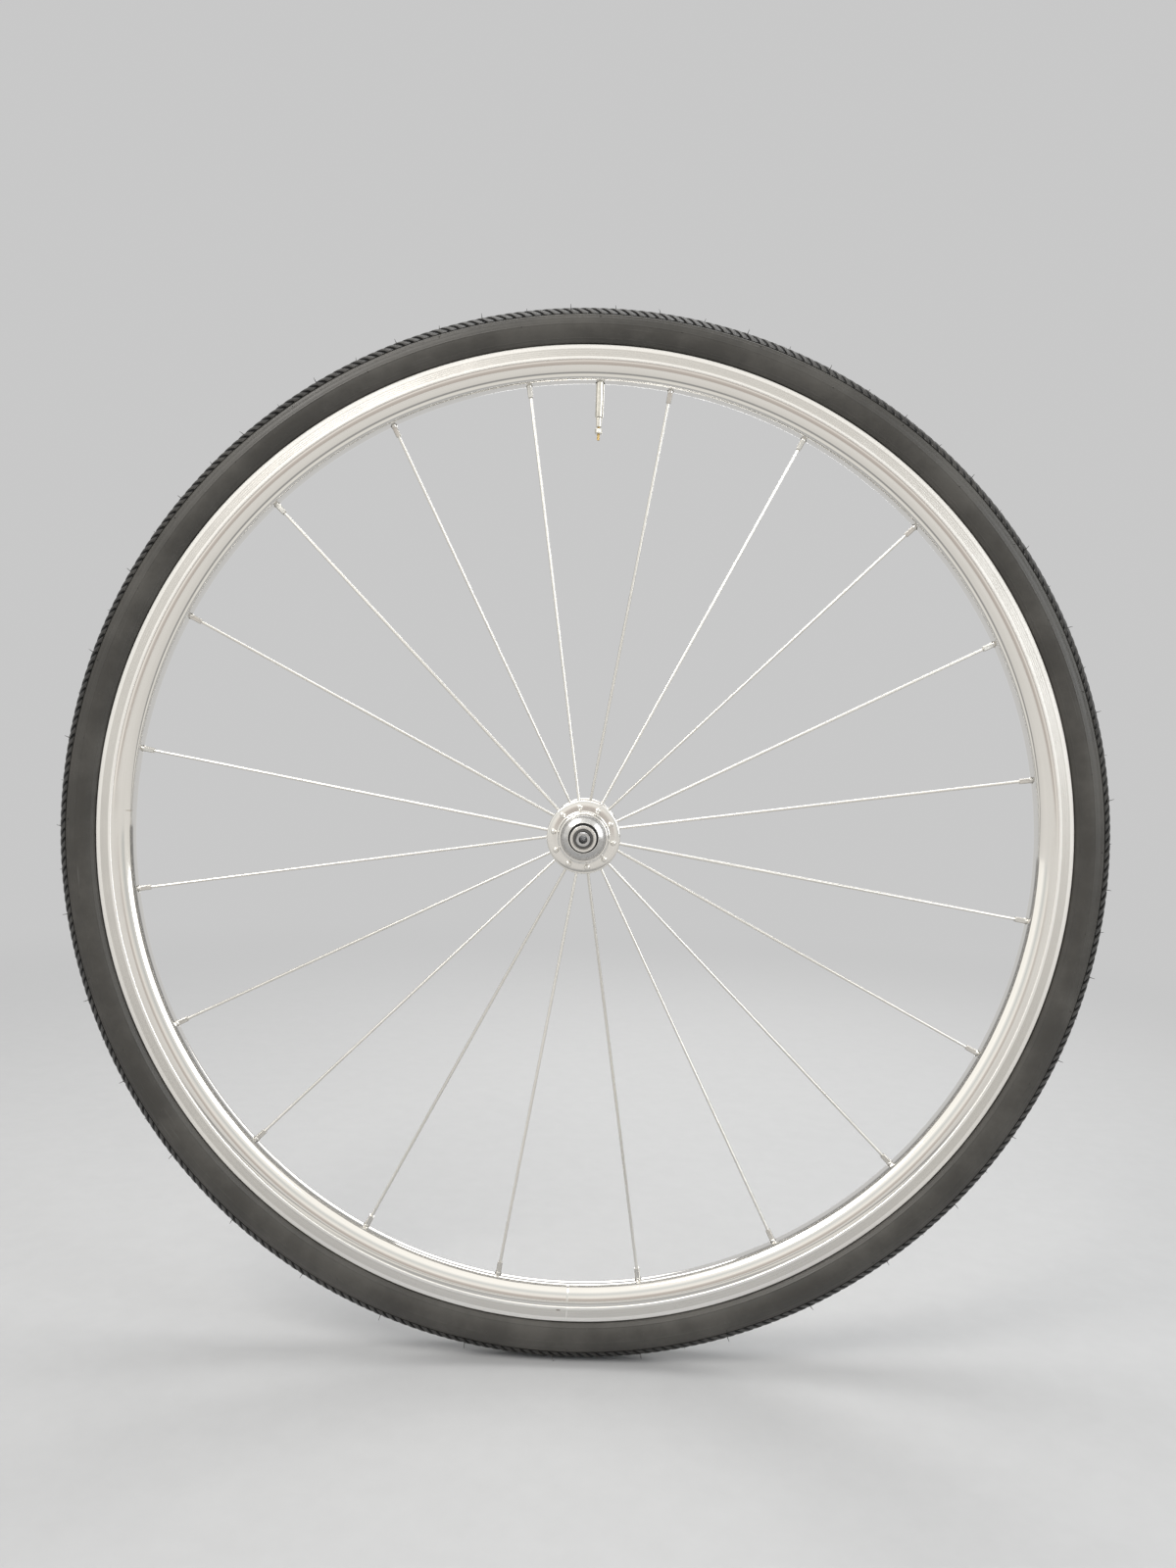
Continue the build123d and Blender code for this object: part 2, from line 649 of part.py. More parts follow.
# Valve core: a barrel screwed into the stem, with a flatted head that stops at the stem's end
with BuildPart() as valve_core:
    with BuildSketch(Plane.XY.offset(stem_end)):
        Circle(VALVE_STEM_BORE / 2 - THREAD_FIT)
    extrude(amount=VALVE_CORE_BARREL)
    with BuildSketch(Plane.XY.offset(stem_end)):
        Circle(VALVE_CORE_DIAMETER / 2)
        Rectangle(VALVE_CORE_FLATS, VALVE_CORE_DIAMETER, mode=Mode.INTERSECT)
    extrude(amount=-VALVE_CORE_REACH)
    with Locations(Plane.XY.offset(core_inner_end)):
        Hole(VALVE_PIN_DIAMETER / 2 + VALVE_PIN_PLAY)
save(valve_core, "valve_core")

# Valve pin: a brass rod through the core, with a plug that closes the core's inner end
with BuildPart() as valve_pin:
    with BuildSketch(Plane.XY.offset(pin_tip)):
        Circle(VALVE_PIN_DIAMETER / 2)
    extrude(amount=core_inner_end + VALVE_PIN_PLAY - pin_tip)
    with BuildSketch(Plane.XY.offset(core_inner_end + VALVE_PIN_PLAY)):
        Circle(VALVE_PLUG_DIAMETER / 2)
    extrude(amount=VALVE_PLUG_LENGTH)
save(valve_pin, "valve_pin")

# Valve nut: a small round nut on the pin
with BuildPart() as valve_nut:
    with BuildSketch(Plane.XY.offset(nut_bottom)):
        Circle(VALVE_NUT_DIAMETER / 2)
    extrude(amount=VALVE_NUT_LENGTH)
    chamfer(edges().filter_by(GeomType.CIRCLE), VALVE_NUT_CHAMFER)
    with Locations(Plane.XY.offset(nut_top)):
        Hole(VALVE_PIN_DIAMETER / 2 + THREAD_FIT)
save(valve_nut, "valve_nut")
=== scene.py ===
"""Bicycle wheel: fine surfaces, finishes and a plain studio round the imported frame. Lengths in metres."""

import bmesh
import bpy
import numpy as np
from mathutils import Matrix, Vector


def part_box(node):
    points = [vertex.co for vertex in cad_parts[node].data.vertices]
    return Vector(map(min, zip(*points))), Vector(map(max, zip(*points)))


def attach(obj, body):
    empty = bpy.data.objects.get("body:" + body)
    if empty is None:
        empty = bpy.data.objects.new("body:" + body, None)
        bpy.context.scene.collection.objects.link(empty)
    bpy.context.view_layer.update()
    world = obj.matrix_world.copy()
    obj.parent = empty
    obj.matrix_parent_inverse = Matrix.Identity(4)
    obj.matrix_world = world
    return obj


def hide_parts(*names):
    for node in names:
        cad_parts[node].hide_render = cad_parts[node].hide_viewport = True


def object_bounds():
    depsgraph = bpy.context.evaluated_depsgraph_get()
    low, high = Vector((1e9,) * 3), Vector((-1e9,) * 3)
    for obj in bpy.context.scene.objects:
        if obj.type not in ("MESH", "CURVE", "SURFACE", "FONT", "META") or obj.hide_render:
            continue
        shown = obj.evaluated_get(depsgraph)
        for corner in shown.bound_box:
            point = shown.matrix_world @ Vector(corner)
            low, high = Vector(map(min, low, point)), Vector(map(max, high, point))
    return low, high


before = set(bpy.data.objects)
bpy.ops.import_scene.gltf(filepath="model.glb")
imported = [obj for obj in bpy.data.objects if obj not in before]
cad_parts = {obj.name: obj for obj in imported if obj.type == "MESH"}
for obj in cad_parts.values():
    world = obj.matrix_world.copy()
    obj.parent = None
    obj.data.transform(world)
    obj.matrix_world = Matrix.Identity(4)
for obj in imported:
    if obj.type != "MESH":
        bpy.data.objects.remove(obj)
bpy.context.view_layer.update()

MM = 0.001
TURN = 2 * np.pi
SIDES = {"right": -1, "left": 1}

# Sizes read from the frame
rim_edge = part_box("rim")[1].x
rim_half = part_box("rim")[1].y
tyre_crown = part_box("tyre")[1].x
flange_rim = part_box("hub_shell")[1].x
boss_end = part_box("hub_shell")[1].y
cap_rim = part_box("dust_cap_left")[1].x
cap_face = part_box("dust_cap_left")[1].y
seal_inner_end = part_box("lip_seal_left")[0].y
seal_outer_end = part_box("lip_seal_left")[1].y
seal_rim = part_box("lip_seal_left")[1].x
cone_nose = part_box("bearing_cone_left")[0].y
cone_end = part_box("bearing_cone_left")[1].y
cone_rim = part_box("bearing_cone_left")[1].x
washer_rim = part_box("lock_washer_left")[1].x
locknut_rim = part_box("locknut_left")[1].x
locknut_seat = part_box("locknut_left")[0].y
locknut_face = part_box("locknut_left")[1].y
axle_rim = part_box("axle")[1].x
axle_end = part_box("axle")[1].y
stem_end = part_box("valve_stem")[0].z
stem_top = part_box("valve_stem")[1].z
core_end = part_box("valve_core")[0].z
core_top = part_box("valve_core")[1].z
core_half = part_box("valve_core")[1].y
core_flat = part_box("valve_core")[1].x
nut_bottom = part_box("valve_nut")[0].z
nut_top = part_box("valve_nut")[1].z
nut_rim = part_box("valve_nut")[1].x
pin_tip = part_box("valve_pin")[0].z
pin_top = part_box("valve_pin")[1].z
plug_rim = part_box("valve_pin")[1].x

# Small sizes that several pieces share
SMALL_ROUND = 0.15 * MM
FINE_ROUND = 0.1 * MM
FIT = 0.03 * MM
HAIR_STEP = 1e-6
WELD = 1e-7

# Least sine or cosine that the width of a flat is divided by
LEAST_WAVE = 1e-3

# Rounded outlines: points of a corner's arc, largest cut as a share of a side, and points along a side
ROUND_POINTS = 5
ROUND_SHARE = 0.42
SIDE_PLACES = np.array((0.1, 0.5, 0.9))

# Rings of a hole's patch, from its border inwards: share of the way out to the border, share of the
# hole's radius, share of its depth, and the shares of the face, the wall and the floor in the normal
HOLE_RINGS = np.array(
    (
        (0.55, 1, 0, 1, 0, 0),
        (0.28, 1, 0, 1, 0, 0),
        (0.12, 1, 0, 1, 0, 0),
        (0.03, 1, 0, 1, 0, 0),
        (0, 1, 0.06, 0.5, 0.5, 0),
        (0, 1, 0.3, 0, 1, 0),
        (0, 1, 1, 0, 1, 0),
        (0, 0, 1, 0, 0, 1),
    )
)
HOLE_CROWDING = 1.2

# Rings whose normal has no share of the face lie in the hole
RING_IN_HOLE = HOLE_RINGS[:, 3] == 0

# Rim section
RIM_DEPTH = 22.4 * MM
TRACK_HEIGHT = 9.8 * MM
TRACK_STEP = 0.5 * MM
EDGE_ROUND = 0.6 * MM
FLANGE_HEIGHT = 6.0 * MM
HOOK_HEIGHT = 2.4 * MM
HOOK_DEPTH = 0.8 * MM
HOOK_HALF = 7.4 * MM
CHANNEL_HALF = 8.2 * MM
WELL_HALF = 5.2 * MM
WELL_DEPTH = 1.8 * MM
WELL_SLOPE = 0.6 * MM
GROOVE_PLACES = np.array((3.9, 5.2, 6.4, 7.5)) * MM
GROOVE_DEPTH = 0.034 * MM
GROOVE_WIDTH = 0.24 * MM
GROOVE_ROWS = np.array((-2.0, -1.2, -0.6, 0.0, 0.6, 1.2, 2.0)) * GROOVE_WIDTH
GROOVE_CLEAR = 2.6 * GROOVE_WIDTH
LEDGE_HEIGHT = 0.6 * MM
# Bands of the brake track by its outer edge and by the ledge that take the painted highlight
OUTER_HIGHLIGHT_BAND = 2.4 * MM
INNER_HIGHLIGHT_BAND = 1.85 * MM
SEAM_ANGLE = 1.5 * np.pi
SEAM_TURN = 0.0011
SEAM_COLUMNS = 2
SEAM_DEPTH = 0.09 * MM
SEAM_TILT = 0.3
NIPPLE_HOLE = 2.25 * MM
VALVE_HOLE = 3.1 * MM
HOLE_DEPTH = 1.5 * MM
HOLE_COLUMNS = 4
BED_REACH = 5.5 * MM
FLANGE_ROWS = (3, 2, 3, 3, 3, 3, 2, 3)
EDGE_ROWS = 6
TRACK_ROWS = 12
LEDGE_ROWS = 6
WALL_ROWS = 26
RIM_COLUMNS = 480
# The ledge's finish is a painted highlight, and the holes' finish is painted shade
RIM_FINISHES = ("rim_polish", "brake_track", "ledge_painted_highlight", "hole_painted_shade")
POLISH, TRACK, PAINTED_HIGHLIGHT, HOLE_PAINTED_SHADE = range(4)

# Marks and a painted highlight on the rim's right side: turn, radius, half width, half length and colour
NICK = (np.radians(178.99), 297.2 * MM, 0.28 * MM, 2.3 * MM, (0.42, 0.37, 0.3))
SMUDGE = (np.radians(-91.03), 309.4 * MM, 1.9 * MM, 0.6 * MM, (0.3, 0.275, 0.24))
# Painted highlight: a near-white stripe on the track along the seam
SEAM_PAINTED_HIGHLIGHT = (np.radians(-90), 312.4 * MM, 0.35 * MM, 4.4 * MM, (0.95, 0.94, 0.91))
TRACK_MARKS_AND_HIGHLIGHT = (SMUDGE, SEAM_PAINTED_HIGHLIGHT)

# Tyre section
WIDEST_BELOW_CROWN = 15.35 * MM
TYRE_HALF = 15.0 * MM
TREAD_HALF = 13.0 * MM
TREAD_DROP = 7.4 * MM
TREAD_STEP = 0.4 * MM
TREAD_SINK = 1.3 * MM
CAP_THICKNESS = 1.7 * MM
FOOT_GAP = 0.5 * MM
FOOT_OUT = 1.6 * MM
LINING = 1.4 * MM
CROWN_LINING = 3.4 * MM
BEAD_NECK = 1.6 * MM
BEAD_FIT = 0.15 * MM
RING_PLACES = np.array((0.05, 0.17, 0.38, 0.88))
RING_HEIGHT = 0.24 * MM
RING_WIDTH = 0.2 * MM
CROWN_SHARE = 0.93
CROWN_ROWS = 14
SIDEWALL_ROWS = 57
LINING_ROWS = 9
CASING_COLUMNS = 432

# Tread: the sipe's profile is its share of the depth at places within a pitch
SIPES = 344
SIPE_PROFILE = np.array(((0.0, 0.15), (0.06, 1.0), (0.4, 1.0), (0.46, 0.15), (0.6, 0.0), (0.86, 0.0)))
SIPE_DEPTH = 1.0 * MM
SIPE_LEAN = np.radians(1.78)
SIPE_START = np.radians(9)
SIPE_FULL = np.radians(15)
SIPE_END = np.radians(5)
SHOULDER_ROWS = 13
MIDDLE_ROWS = 4
UNDER_SHARE = 0.96
UNDER_ROWS = 5

# Moulding vents: a profile of places along a rod and shares of its radius, rows of hairs by their turn
# across the section and their shift in steps, and rows of stubs by their turn across it and the first
# stub's turn round the wheel
VENT_PROFILE = np.array(
    ((-0.25, 0.0), (-0.25, 1.0), (0.0, 1.0), (0.35, 0.75), (0.7, 0.55), (1.0, 0.4), (1.0, 0.0))
)
VENT_SIDES = 6
VENT_SINK = 0.1 * MM
VENT_LEAN = 0.16
VENT_LENGTHS = (0.8, 1.02)
VENT_SEED = 7
HAIRS = 37
HAIR_FIRST = np.radians(112.9)
HAIR_LENGTH = 3.8 * MM
HAIR_RADIUS = 0.34 * MM
HAIR_TILT = 0.35
HAIR_ROWS = ((np.radians(-42), 0.0), (np.radians(42), 0.0), (np.radians(6), 0.5))
FLOOR_ANGLE = 1.5 * np.pi
FLOOR_CLEAR = np.radians(7)
SHOULDER = np.radians(30)
STUBS = 20
STUB_LENGTH = 0.55 * MM
STUB_RADIUS = 0.42 * MM
STUB_TILT = 1.0
STUB_ROWS = ((np.radians(68), np.radians(18.2)), (np.radians(88), np.radians(9.0)))

# Spokes and nipples
SPOKES_PER_SIDE = 10
SPOKE_STEP = TURN / SPOKES_PER_SIDE
VALVE_ANGLE = np.pi / 2
SPOKE_RADIUS = 1.0 * MM
SPOKE_CIRCLE = 19.0 * MM
HEAD_RADIUS = 1.9 * MM
HEAD_HEIGHT = 1.3 * MM
HEAD_SINK = 0.3 * MM
HEAD_NECK = 0.36 * MM
HEAD_POWER = 0.8
SHANK_START = 0.6 * MM
ELBOW_ROUND = 2.4 * MM
FLANGE_INNER = 28.6 * MM
FLANGE_OUTER = 31.4 * MM
HEAD_ROWS = 8
SHANK_ROWS = 4
ELBOW_ROWS = 9
SPOKE_ROWS = 24
SPOKE_COLUMNS = 16
NIPPLE_SEAT = 296.35 * MM
SPOKE_PAST_SEAT = 1.0 * MM
SPOKE_CLEAR = 0.05 * MM
NIPPLE_RADIUS = 2.0 * MM
NIPPLE_FLAT = 1.65 * MM
NIPPLE_TIP = -9.4 * MM
NIPPLE_NECK = -3.0 * MM
NIPPLE_RUNOUT = 0.45 * MM
NIPPLE_HEAD = 2.6 * MM
NIPPLE_HEAD_RADIUS = 3.0 * MM
NIPPLE_DOME = 1.0 * MM
NIPPLE_EDGE = 0.3 * MM
NECK_ROWS = 6
NIPPLE_COLUMNS = 32

# Hub shell
FLANGE_EDGE = 1.0 * MM
FLANGE_DISH = 0.55 * MM
FLANGE_ROOT = 15.0 * MM
BARREL_RADIUS = 10.5 * MM
BARREL_HALF = 10.0 * MM
FLARE_RISE = 1.05 * MM
FLARE_PLACE = 19.6 * MM
HUB_BORE = 8.6 * MM
BOSS_RADIUS = 15.8 * MM
BOSS_FILLET = 1.2 * MM
BOSS_START = 1.92 * MM
BOSS_CHAMFER = 0.8 * MM
BOSS_STOP = 1.2 * MM
BOSS_MOUTH = 0.2 * MM
CAP_SEAT_DEPTH = 3.0 * MM
CUP_SEAT_DEPTH = 7.2 * MM
CUP_RADIUS = 12.7 * MM
SPOKE_HOLE = 1.25 * MM
SPOKE_HOLE_SHARE = 0.49
SPOKE_HOLE_ROWS = 3
SPOKE_HOLE_COLUMNS = 6
BARREL_ROWS = 5
FLARE_ROWS = 14
FACE_ROWS = 9
FLANGE_EDGE_ROWS = 11
FILLET_ROWS = 7
HUB_COLUMNS = 240

# Hub ends and axle
CAP_HOLE = 9.3 * MM
CAP_WALL = 0.9 * MM
CAP_RIM = 0.7 * MM
CAP_LIP = 0.5 * MM
CAP_LIP_ROUND = 0.3 * MM
CAP_LIP_LIMIT = 9.9 * MM
CAP_RING_PLACES = (0.10, 0.2)
CAP_RING_HALF = np.array((0.28, -0.1)) * MM
CAP_RING_DEPTH = 0.12 * MM
SEAL_LIP = 0.8 * MM
CONE_NECK = 7.6 * MM
CONE_FLAT = 6.5 * MM
CONE_FLAT_LENGTH = 3.2 * MM
CONE_SHOULDER_END = 36.45 * MM
CONE_SHOULDER_LENGTH = 1.6 * MM
CONE_SHOULDER_SLOPE = 0.8 * MM
CONE_NOSE_RADIUS = 6.2 * MM
CONE_NOSE_RISE = 0.5 * MM
CONE_NOSE_LENGTH = 2.0 * MM
CONE_RACE_LENGTH = 4.2 * MM
LOCKNUT_RECESS = 6.6 * MM
LOCKNUT_RECESS_DEPTH = 1.0 * MM
LOCKNUT_FLAT = 7.5 * MM
LOCKNUT_COLLAR = 1.2 * MM
LOCKNUT_COLLAR_STEP = 0.05 * MM
LOCKNUT_SEAT_ROUND = 0.2 * MM
LOCKNUT_STEP_ROUND = 0.01 * MM
LOCKNUT_FACE_ROUND = 0.3 * MM
LOCKNUT_RECESS_ROUND = 0.25 * MM
END_COLUMNS = 120
AXLE_BORE = 2.6 * MM
AXLE_BORE_ROW = 2.0 * MM
AXLE_TIP = 4.4 * MM
AXLE_CHAMFER = 0.5 * MM
AXLE_HOLE = 4.55 * MM
AXLE_STEP_SINK = 1.2 * MM
THREAD_SINK = 1.0 * MM
THREAD_PITCH = 1.0 * MM
THREAD_DEPTH = 0.22 * MM
THREAD_ROWS = 6

# Valve
STEM_RADIUS = 2.7 * MM
STEM_BORE = 1.75 * MM
STEM_CHAMFER = 0.4 * MM
STEM_ROUND = 0.12 * MM
FOOT_RADIUS = 3.3 * MM
FOOT_HEIGHT = 1.0 * MM
CORE_BARREL = 1.7 * MM
CORE_BORE = 1.05 * MM
CORE_CHAMFER = 0.3 * MM
CORE_SEAT = 0.3 * MM
CORE_SHOULDER = 0.35 * MM
CORE_FLAT_GAP = 0.6 * MM
CORE_WALL = 0.2 * MM
PIN_RADIUS = 0.9 * MM
PIN_END_CUT = 0.25 * MM
PIN_EDGE_CUT = 0.05 * MM
PIN_EDGE_HEIGHT = 0.2 * MM
PIN_THREAD_START = 0.3 * MM
PIN_PITCH = 0.45 * MM
PIN_THREAD_DEPTH = 0.1 * MM
PLUG_HEIGHT = 2.0 * MM
NUT_BORE = 0.95 * MM
NUT_CHAMFER = 0.4 * MM
NUT_ROWS = 13
KNURLS = 26
KNURL_RISE = 2.2 * MM
KNURL_DEPTH = 0.16 * MM

# Effects in the finishes. A noise is its scale, detail and roughness. Limits are the values between
# which an effect grows or fades, and the sipes' painted shade has shares of their depth.
RING_NOISE = (1.0, 2.0, 0.6)
RING_TONES = (0.3, 0.7)
RING_WEAR = (0.25, 0.75)
RING_RELIEF = 0.02 * MM
RING_SHINE_TURN = 0.25
SMUDGE_NOISE = (1.0, 4.0, 0.6)
SMUDGE_LIMITS = (0.42, 0.72)
SMUDGE_TINT = 0.35
SMUDGE_WEAR = 0.8
BEND_NOISE = {"Scale": 0.6, "Detail": 1.0}
HAIRLINE_NOISE = (2.0, 2.0, 0.5)
HAIRLINE_LIMITS = (0.71, 0.79)
HAIRLINE_STRETCH = (14.0, 1.2, 3.0)
HAIRLINE_TURN = (0.4, 0.7, 0.2)
HAIRLINE_WEAR = 0.12
MARK_LIMITS = (0.2, 1.0)
CLOUD_NOISE = (24.0, 5.0, 0.62)
CLOUD_LIMITS = (0.35, 0.7)
STREAK_NOISE = (1.0, 2.0, 0.5)
STREAK_FINENESS = 900.0
STREAK_WAVER = 9.0
STREAK_LIMITS = (0.66, 0.78)
PATCH_NOISE = (7.0, 2.0, 0.55)
PATCH_LIMITS = (0.5, 0.66)
SPECK_NOISE = (420.0, 2.0, 0.55)
SPECK_LIMITS = (0.68, 0.76)
DUST_TONE = (0.16, 0.155, 0.145)
SIPE_PAINTED_SHADE = (0.003, 0.003, 0.003)
SIPE_SHADE = (0.7, 0.25)
GRAIN_NOISE = (2500.0, 3.0, 0.6)
GRAIN_SHARE = 0.4
GRAIN_LIMITS = (0.1, 1.1)
GRAIN_BUMP = 0.25
GRAIN_RELIEF = 0.05 * MM
SCUFF_WEAR = 0.15
RUBBER_SPECULAR = 0.45

# Rubbers: black and grey tone, range of roughness, scuffs, dust, and whether sipe floors get painted shade
RUBBERS = {
    "sidewall_rubber": ((0.049, 0.0458, 0.0405), (0.081, 0.076, 0.0675), (0.34, 0.48), 0.4, 0.12),
    "tread_rubber": ((0.03, 0.0282, 0.0252), (0.05, 0.047, 0.042), (0.38, 0.54), 0.15, 0.12, True),
    "tube_rubber": ((0.02, 0.02, 0.021), (0.05, 0.05, 0.05), (0.55, 0.75), 0.0, 0.5),
    "tape_rubber": ((0.03, 0.03, 0.032), (0.05, 0.05, 0.05), (0.5, 0.7)),
    "seal_rubber": ((0.012, 0.012, 0.012), (0.02, 0.02, 0.02), (0.4, 0.55)),
}

# Metals: pale and dull tone, range of roughness, (fineness, waver, bump) of the rings, size of the
# smudges, and where it has them, shine along the rings and single marks, among them a painted highlight
METALS = {
    "brake_track": (
        (0.79, 0.774, 0.742), (0.63, 0.616, 0.59), (0.24, 0.38), (14000.0, 0.6, 0.25),
        30.0, 0.5, TRACK_MARKS_AND_HIGHLIGHT,
    ),
    # Painted highlight: near-white metal on the ledge, the track's rounded edge and the track's bands
    # beside them
    "ledge_painted_highlight": (
        (0.95, 0.937, 0.91), (0.89, 0.877, 0.85), (0.28, 0.36), (9000.0, 0.6, 0.05),
        30.0, 0.0, TRACK_MARKS_AND_HIGHLIGHT,
    ),
    "rim_polish": (
        (0.82, 0.806, 0.778), (0.76, 0.746, 0.718), (0.035, 0.08), (5000.0, 0.8, 0.03),
        30.0, 0.0, (NICK,),
    ),
    "hub_polish": ((0.84, 0.827, 0.8), (0.74, 0.728, 0.702), (0.08, 0.16), (6000.0, 0.5, 0.08), 120.0, 0.3),
    "cap_metal": ((0.66, 0.66, 0.655), (0.5, 0.5, 0.5), (0.2, 0.34), (7000.0, 0.4, 0.4), 150.0, 0.6),
    "axle_metal": ((0.62, 0.62, 0.62), (0.48, 0.48, 0.48), (0.2, 0.36), (8000.0, 0.7, 0.2), 150.0),
    "nut_metal": ((0.88, 0.865, 0.83), (0.74, 0.727, 0.7), (0.2, 0.3), (8000.0, 0.5, 0.1), 150.0),
    "spoke_metal": ((0.8, 0.785, 0.75), (0.74, 0.725, 0.69), (0.25, 0.31), (12.0, 60.0, 0.0), 14.0),
    "nipple_metal": ((0.74, 0.725, 0.69), (0.58, 0.565, 0.54), (0.18, 0.28), (90.0, 260.0, 0.05), 90.0),
    "valve_metal": ((0.74, 0.715, 0.65), (0.66, 0.637, 0.58), (0.13, 0.2), (260.0, 30.0, 0.0), 60.0),
    "pin_brass": ((0.78, 0.57, 0.24), (0.58, 0.4, 0.15), (0.2, 0.34), (6000.0, 60.0, 0.15), 160.0),
    # Painted shade: a dark metal on the walls and floors of the rim's and hub's holes
    "hole_painted_shade": ((0.12, 0.118, 0.115), (0.05, 0.05, 0.05), (0.4, 0.6), (6000.0, 0.5, 0.1), 150.0),
    # Painted shade: a dark metal for the locknut's recess
    "recess_painted_shade": ((0.2, 0.195, 0.19), (0.1, 0.1, 0.1), (0.3, 0.5), (8000.0, 0.5, 0.2), 150.0),
    "bearing_metal": ((0.6, 0.6, 0.6), (0.46, 0.46, 0.46), (0.12, 0.24), (6000.0, 0.5, 0.1), 150.0),
}

# Camera
CAMERA_AT = Vector((0.00615, -0.77185, 0.0427))
CAMERA_LINE = Vector((-0.00606, 1.0, -0.01222))
CAMERA_ROLL = np.radians(2.07)
FOCAL_PIXELS = 1202
PHOTO_HEIGHT = 1600
SENSOR = 36.0
CLIP_START = 0.01

# Studio. Mirrors see the room and the floor in bands: stops of a place and the colour there.
PALE = (0.58, 0.58, 0.58)
MIRROR_TONE = 0.67
AMBIENT_TONE = (0.96, 0.98, 1.0)
AMBIENT_STRENGTH = 0.42
ROOM_BANDS = (
    (-1.0, (0.86, 0.78, 0.72)),
    (-0.992, (0.92, 0.84, 0.78)),
    (-0.965, (1.5, 1.45, 1.37)),
    (-0.86, (1.0, 1.02, 1.0)),
    (-0.7, (1.55, 1.52, 1.45)),
    (-0.24, (1.5, 1.46, 1.38)),
    (-0.16, (0.25, 0.25, 0.25)),
    (0.12, (0.22, 0.22, 0.22)),
    (0.45, (1.0, 1.0, 1.0)),
)
ROOM_UPWARD = 0.42
ROOM_SIDEWAYS = 0.16
ROOM_RISE = (-0.3, 0.3)
ROOM_TONES = (0.75, 1.2)
ROOM_BEHIND = (-0.1, 0.5)
FLOOR_RINGS = np.array((0.0, 0.5, 1.5, 4.0, 9.0))
FLOOR_COLUMNS = 96
FLOOR_NOISE = (60.0, 4.0, 0.55)
FLOOR_LIMITS = (0.3, 0.7)
FLOOR_DULL = 0.97
FLOOR_ROUGHNESS = 0.6
FLOOR_SPECULAR = 0.2
FLOOR_FADE = (0.55, 2.2)
# The floor's bands are a painted reflection: a glow on the floor that only mirrors see
FLOOR_PAINTED_REFLECTION_BANDS = (
    (-2.5, (1.25, 1.22, 1.17)),
    (-0.9, (1.15, 1.12, 1.07)),
    (-0.76, (0.52, 0.515, 0.51)),
    (-0.63, (0.52, 0.515, 0.51)),
    (-0.54, (1.3, 1.27, 1.2)),
    (-0.32, (1.3, 1.27, 1.2)),
    (-0.25, (0.75, 0.745, 0.735)),
    (-0.16, (0.75, 0.745, 0.735)),
    (-0.12, (1.0, 1.0, 1.0)),
    (0.0, (1.0, 1.0, 1.0)),
)
FLOOR_MIRRORED = (0.35, 0.39)

# Lamps, all turned to the wheel's centre: place, width and height, power and colour
LAMPS = {
    "key": ((-1.1, -1.3, 1.7), (1.1, 1.1), 26.0, (1.0, 0.97, 0.93)),
    "fill": ((1.5, -1.1, 0.7), (0.9, 1.3), 12.0, (0.95, 0.98, 1.0)),
    "top": ((0.0, 0.3, 1.9), (1.6, 0.9), 16.0, (1.0, 1.0, 1.0)),
    "back": ((0.4, 1.7, 0.9), (1.3, 0.9), 12.0, (1.0, 0.99, 0.97)),
}
WHEEL_CENTRE = Vector((0, 0, 0))

# Tyre section, worked out from its sizes
tread_edge = tyre_crown - TREAD_DROP
section_radius = (TREAD_HALF**2 + TREAD_DROP**2) / (2 * TREAD_DROP)
section_centre = tyre_crown - section_radius
tread_turn = np.arcsin(TREAD_HALF / section_radius)
tyre_widest = tyre_crown - WIDEST_BELOW_CROWN


# Outlines, each an array of (radius, height) rows


def round_about(centre, radii, turn):
    """Points of a circle or an ellipse: the centre plus the radii times the cosine and the sine of the
    turns."""
    return np.asarray(centre) + np.asarray(radii) * np.stack((np.cos(turn), np.sin(turn)), axis=1)


def arc(start, middle, end, count):
    """Points of the circle through three points, evenly turned from the first through the middle to the
    last."""
    a, b, c = (np.asarray(p, float) for p in (start, middle, end))
    centre = np.linalg.solve(2 * np.array((b - a, c - a)), np.array((b @ b - a @ a, c @ c - a @ a)))
    angles = np.unwrap([np.arctan2(*(p - centre)[::-1]) for p in (a, b, c)])
    return round_about(centre, np.hypot(*(a - centre)), np.linspace(angles[0], angles[2], count))


def line(start, end, count):
    """Evenly spaced points from start to end, without the end."""
    return np.linspace(start, end, count, endpoint=False)


def level(radius, heights):
    """Rows of one radius at the given heights."""
    return np.stack((np.full(len(heights), radius), heights), axis=1)


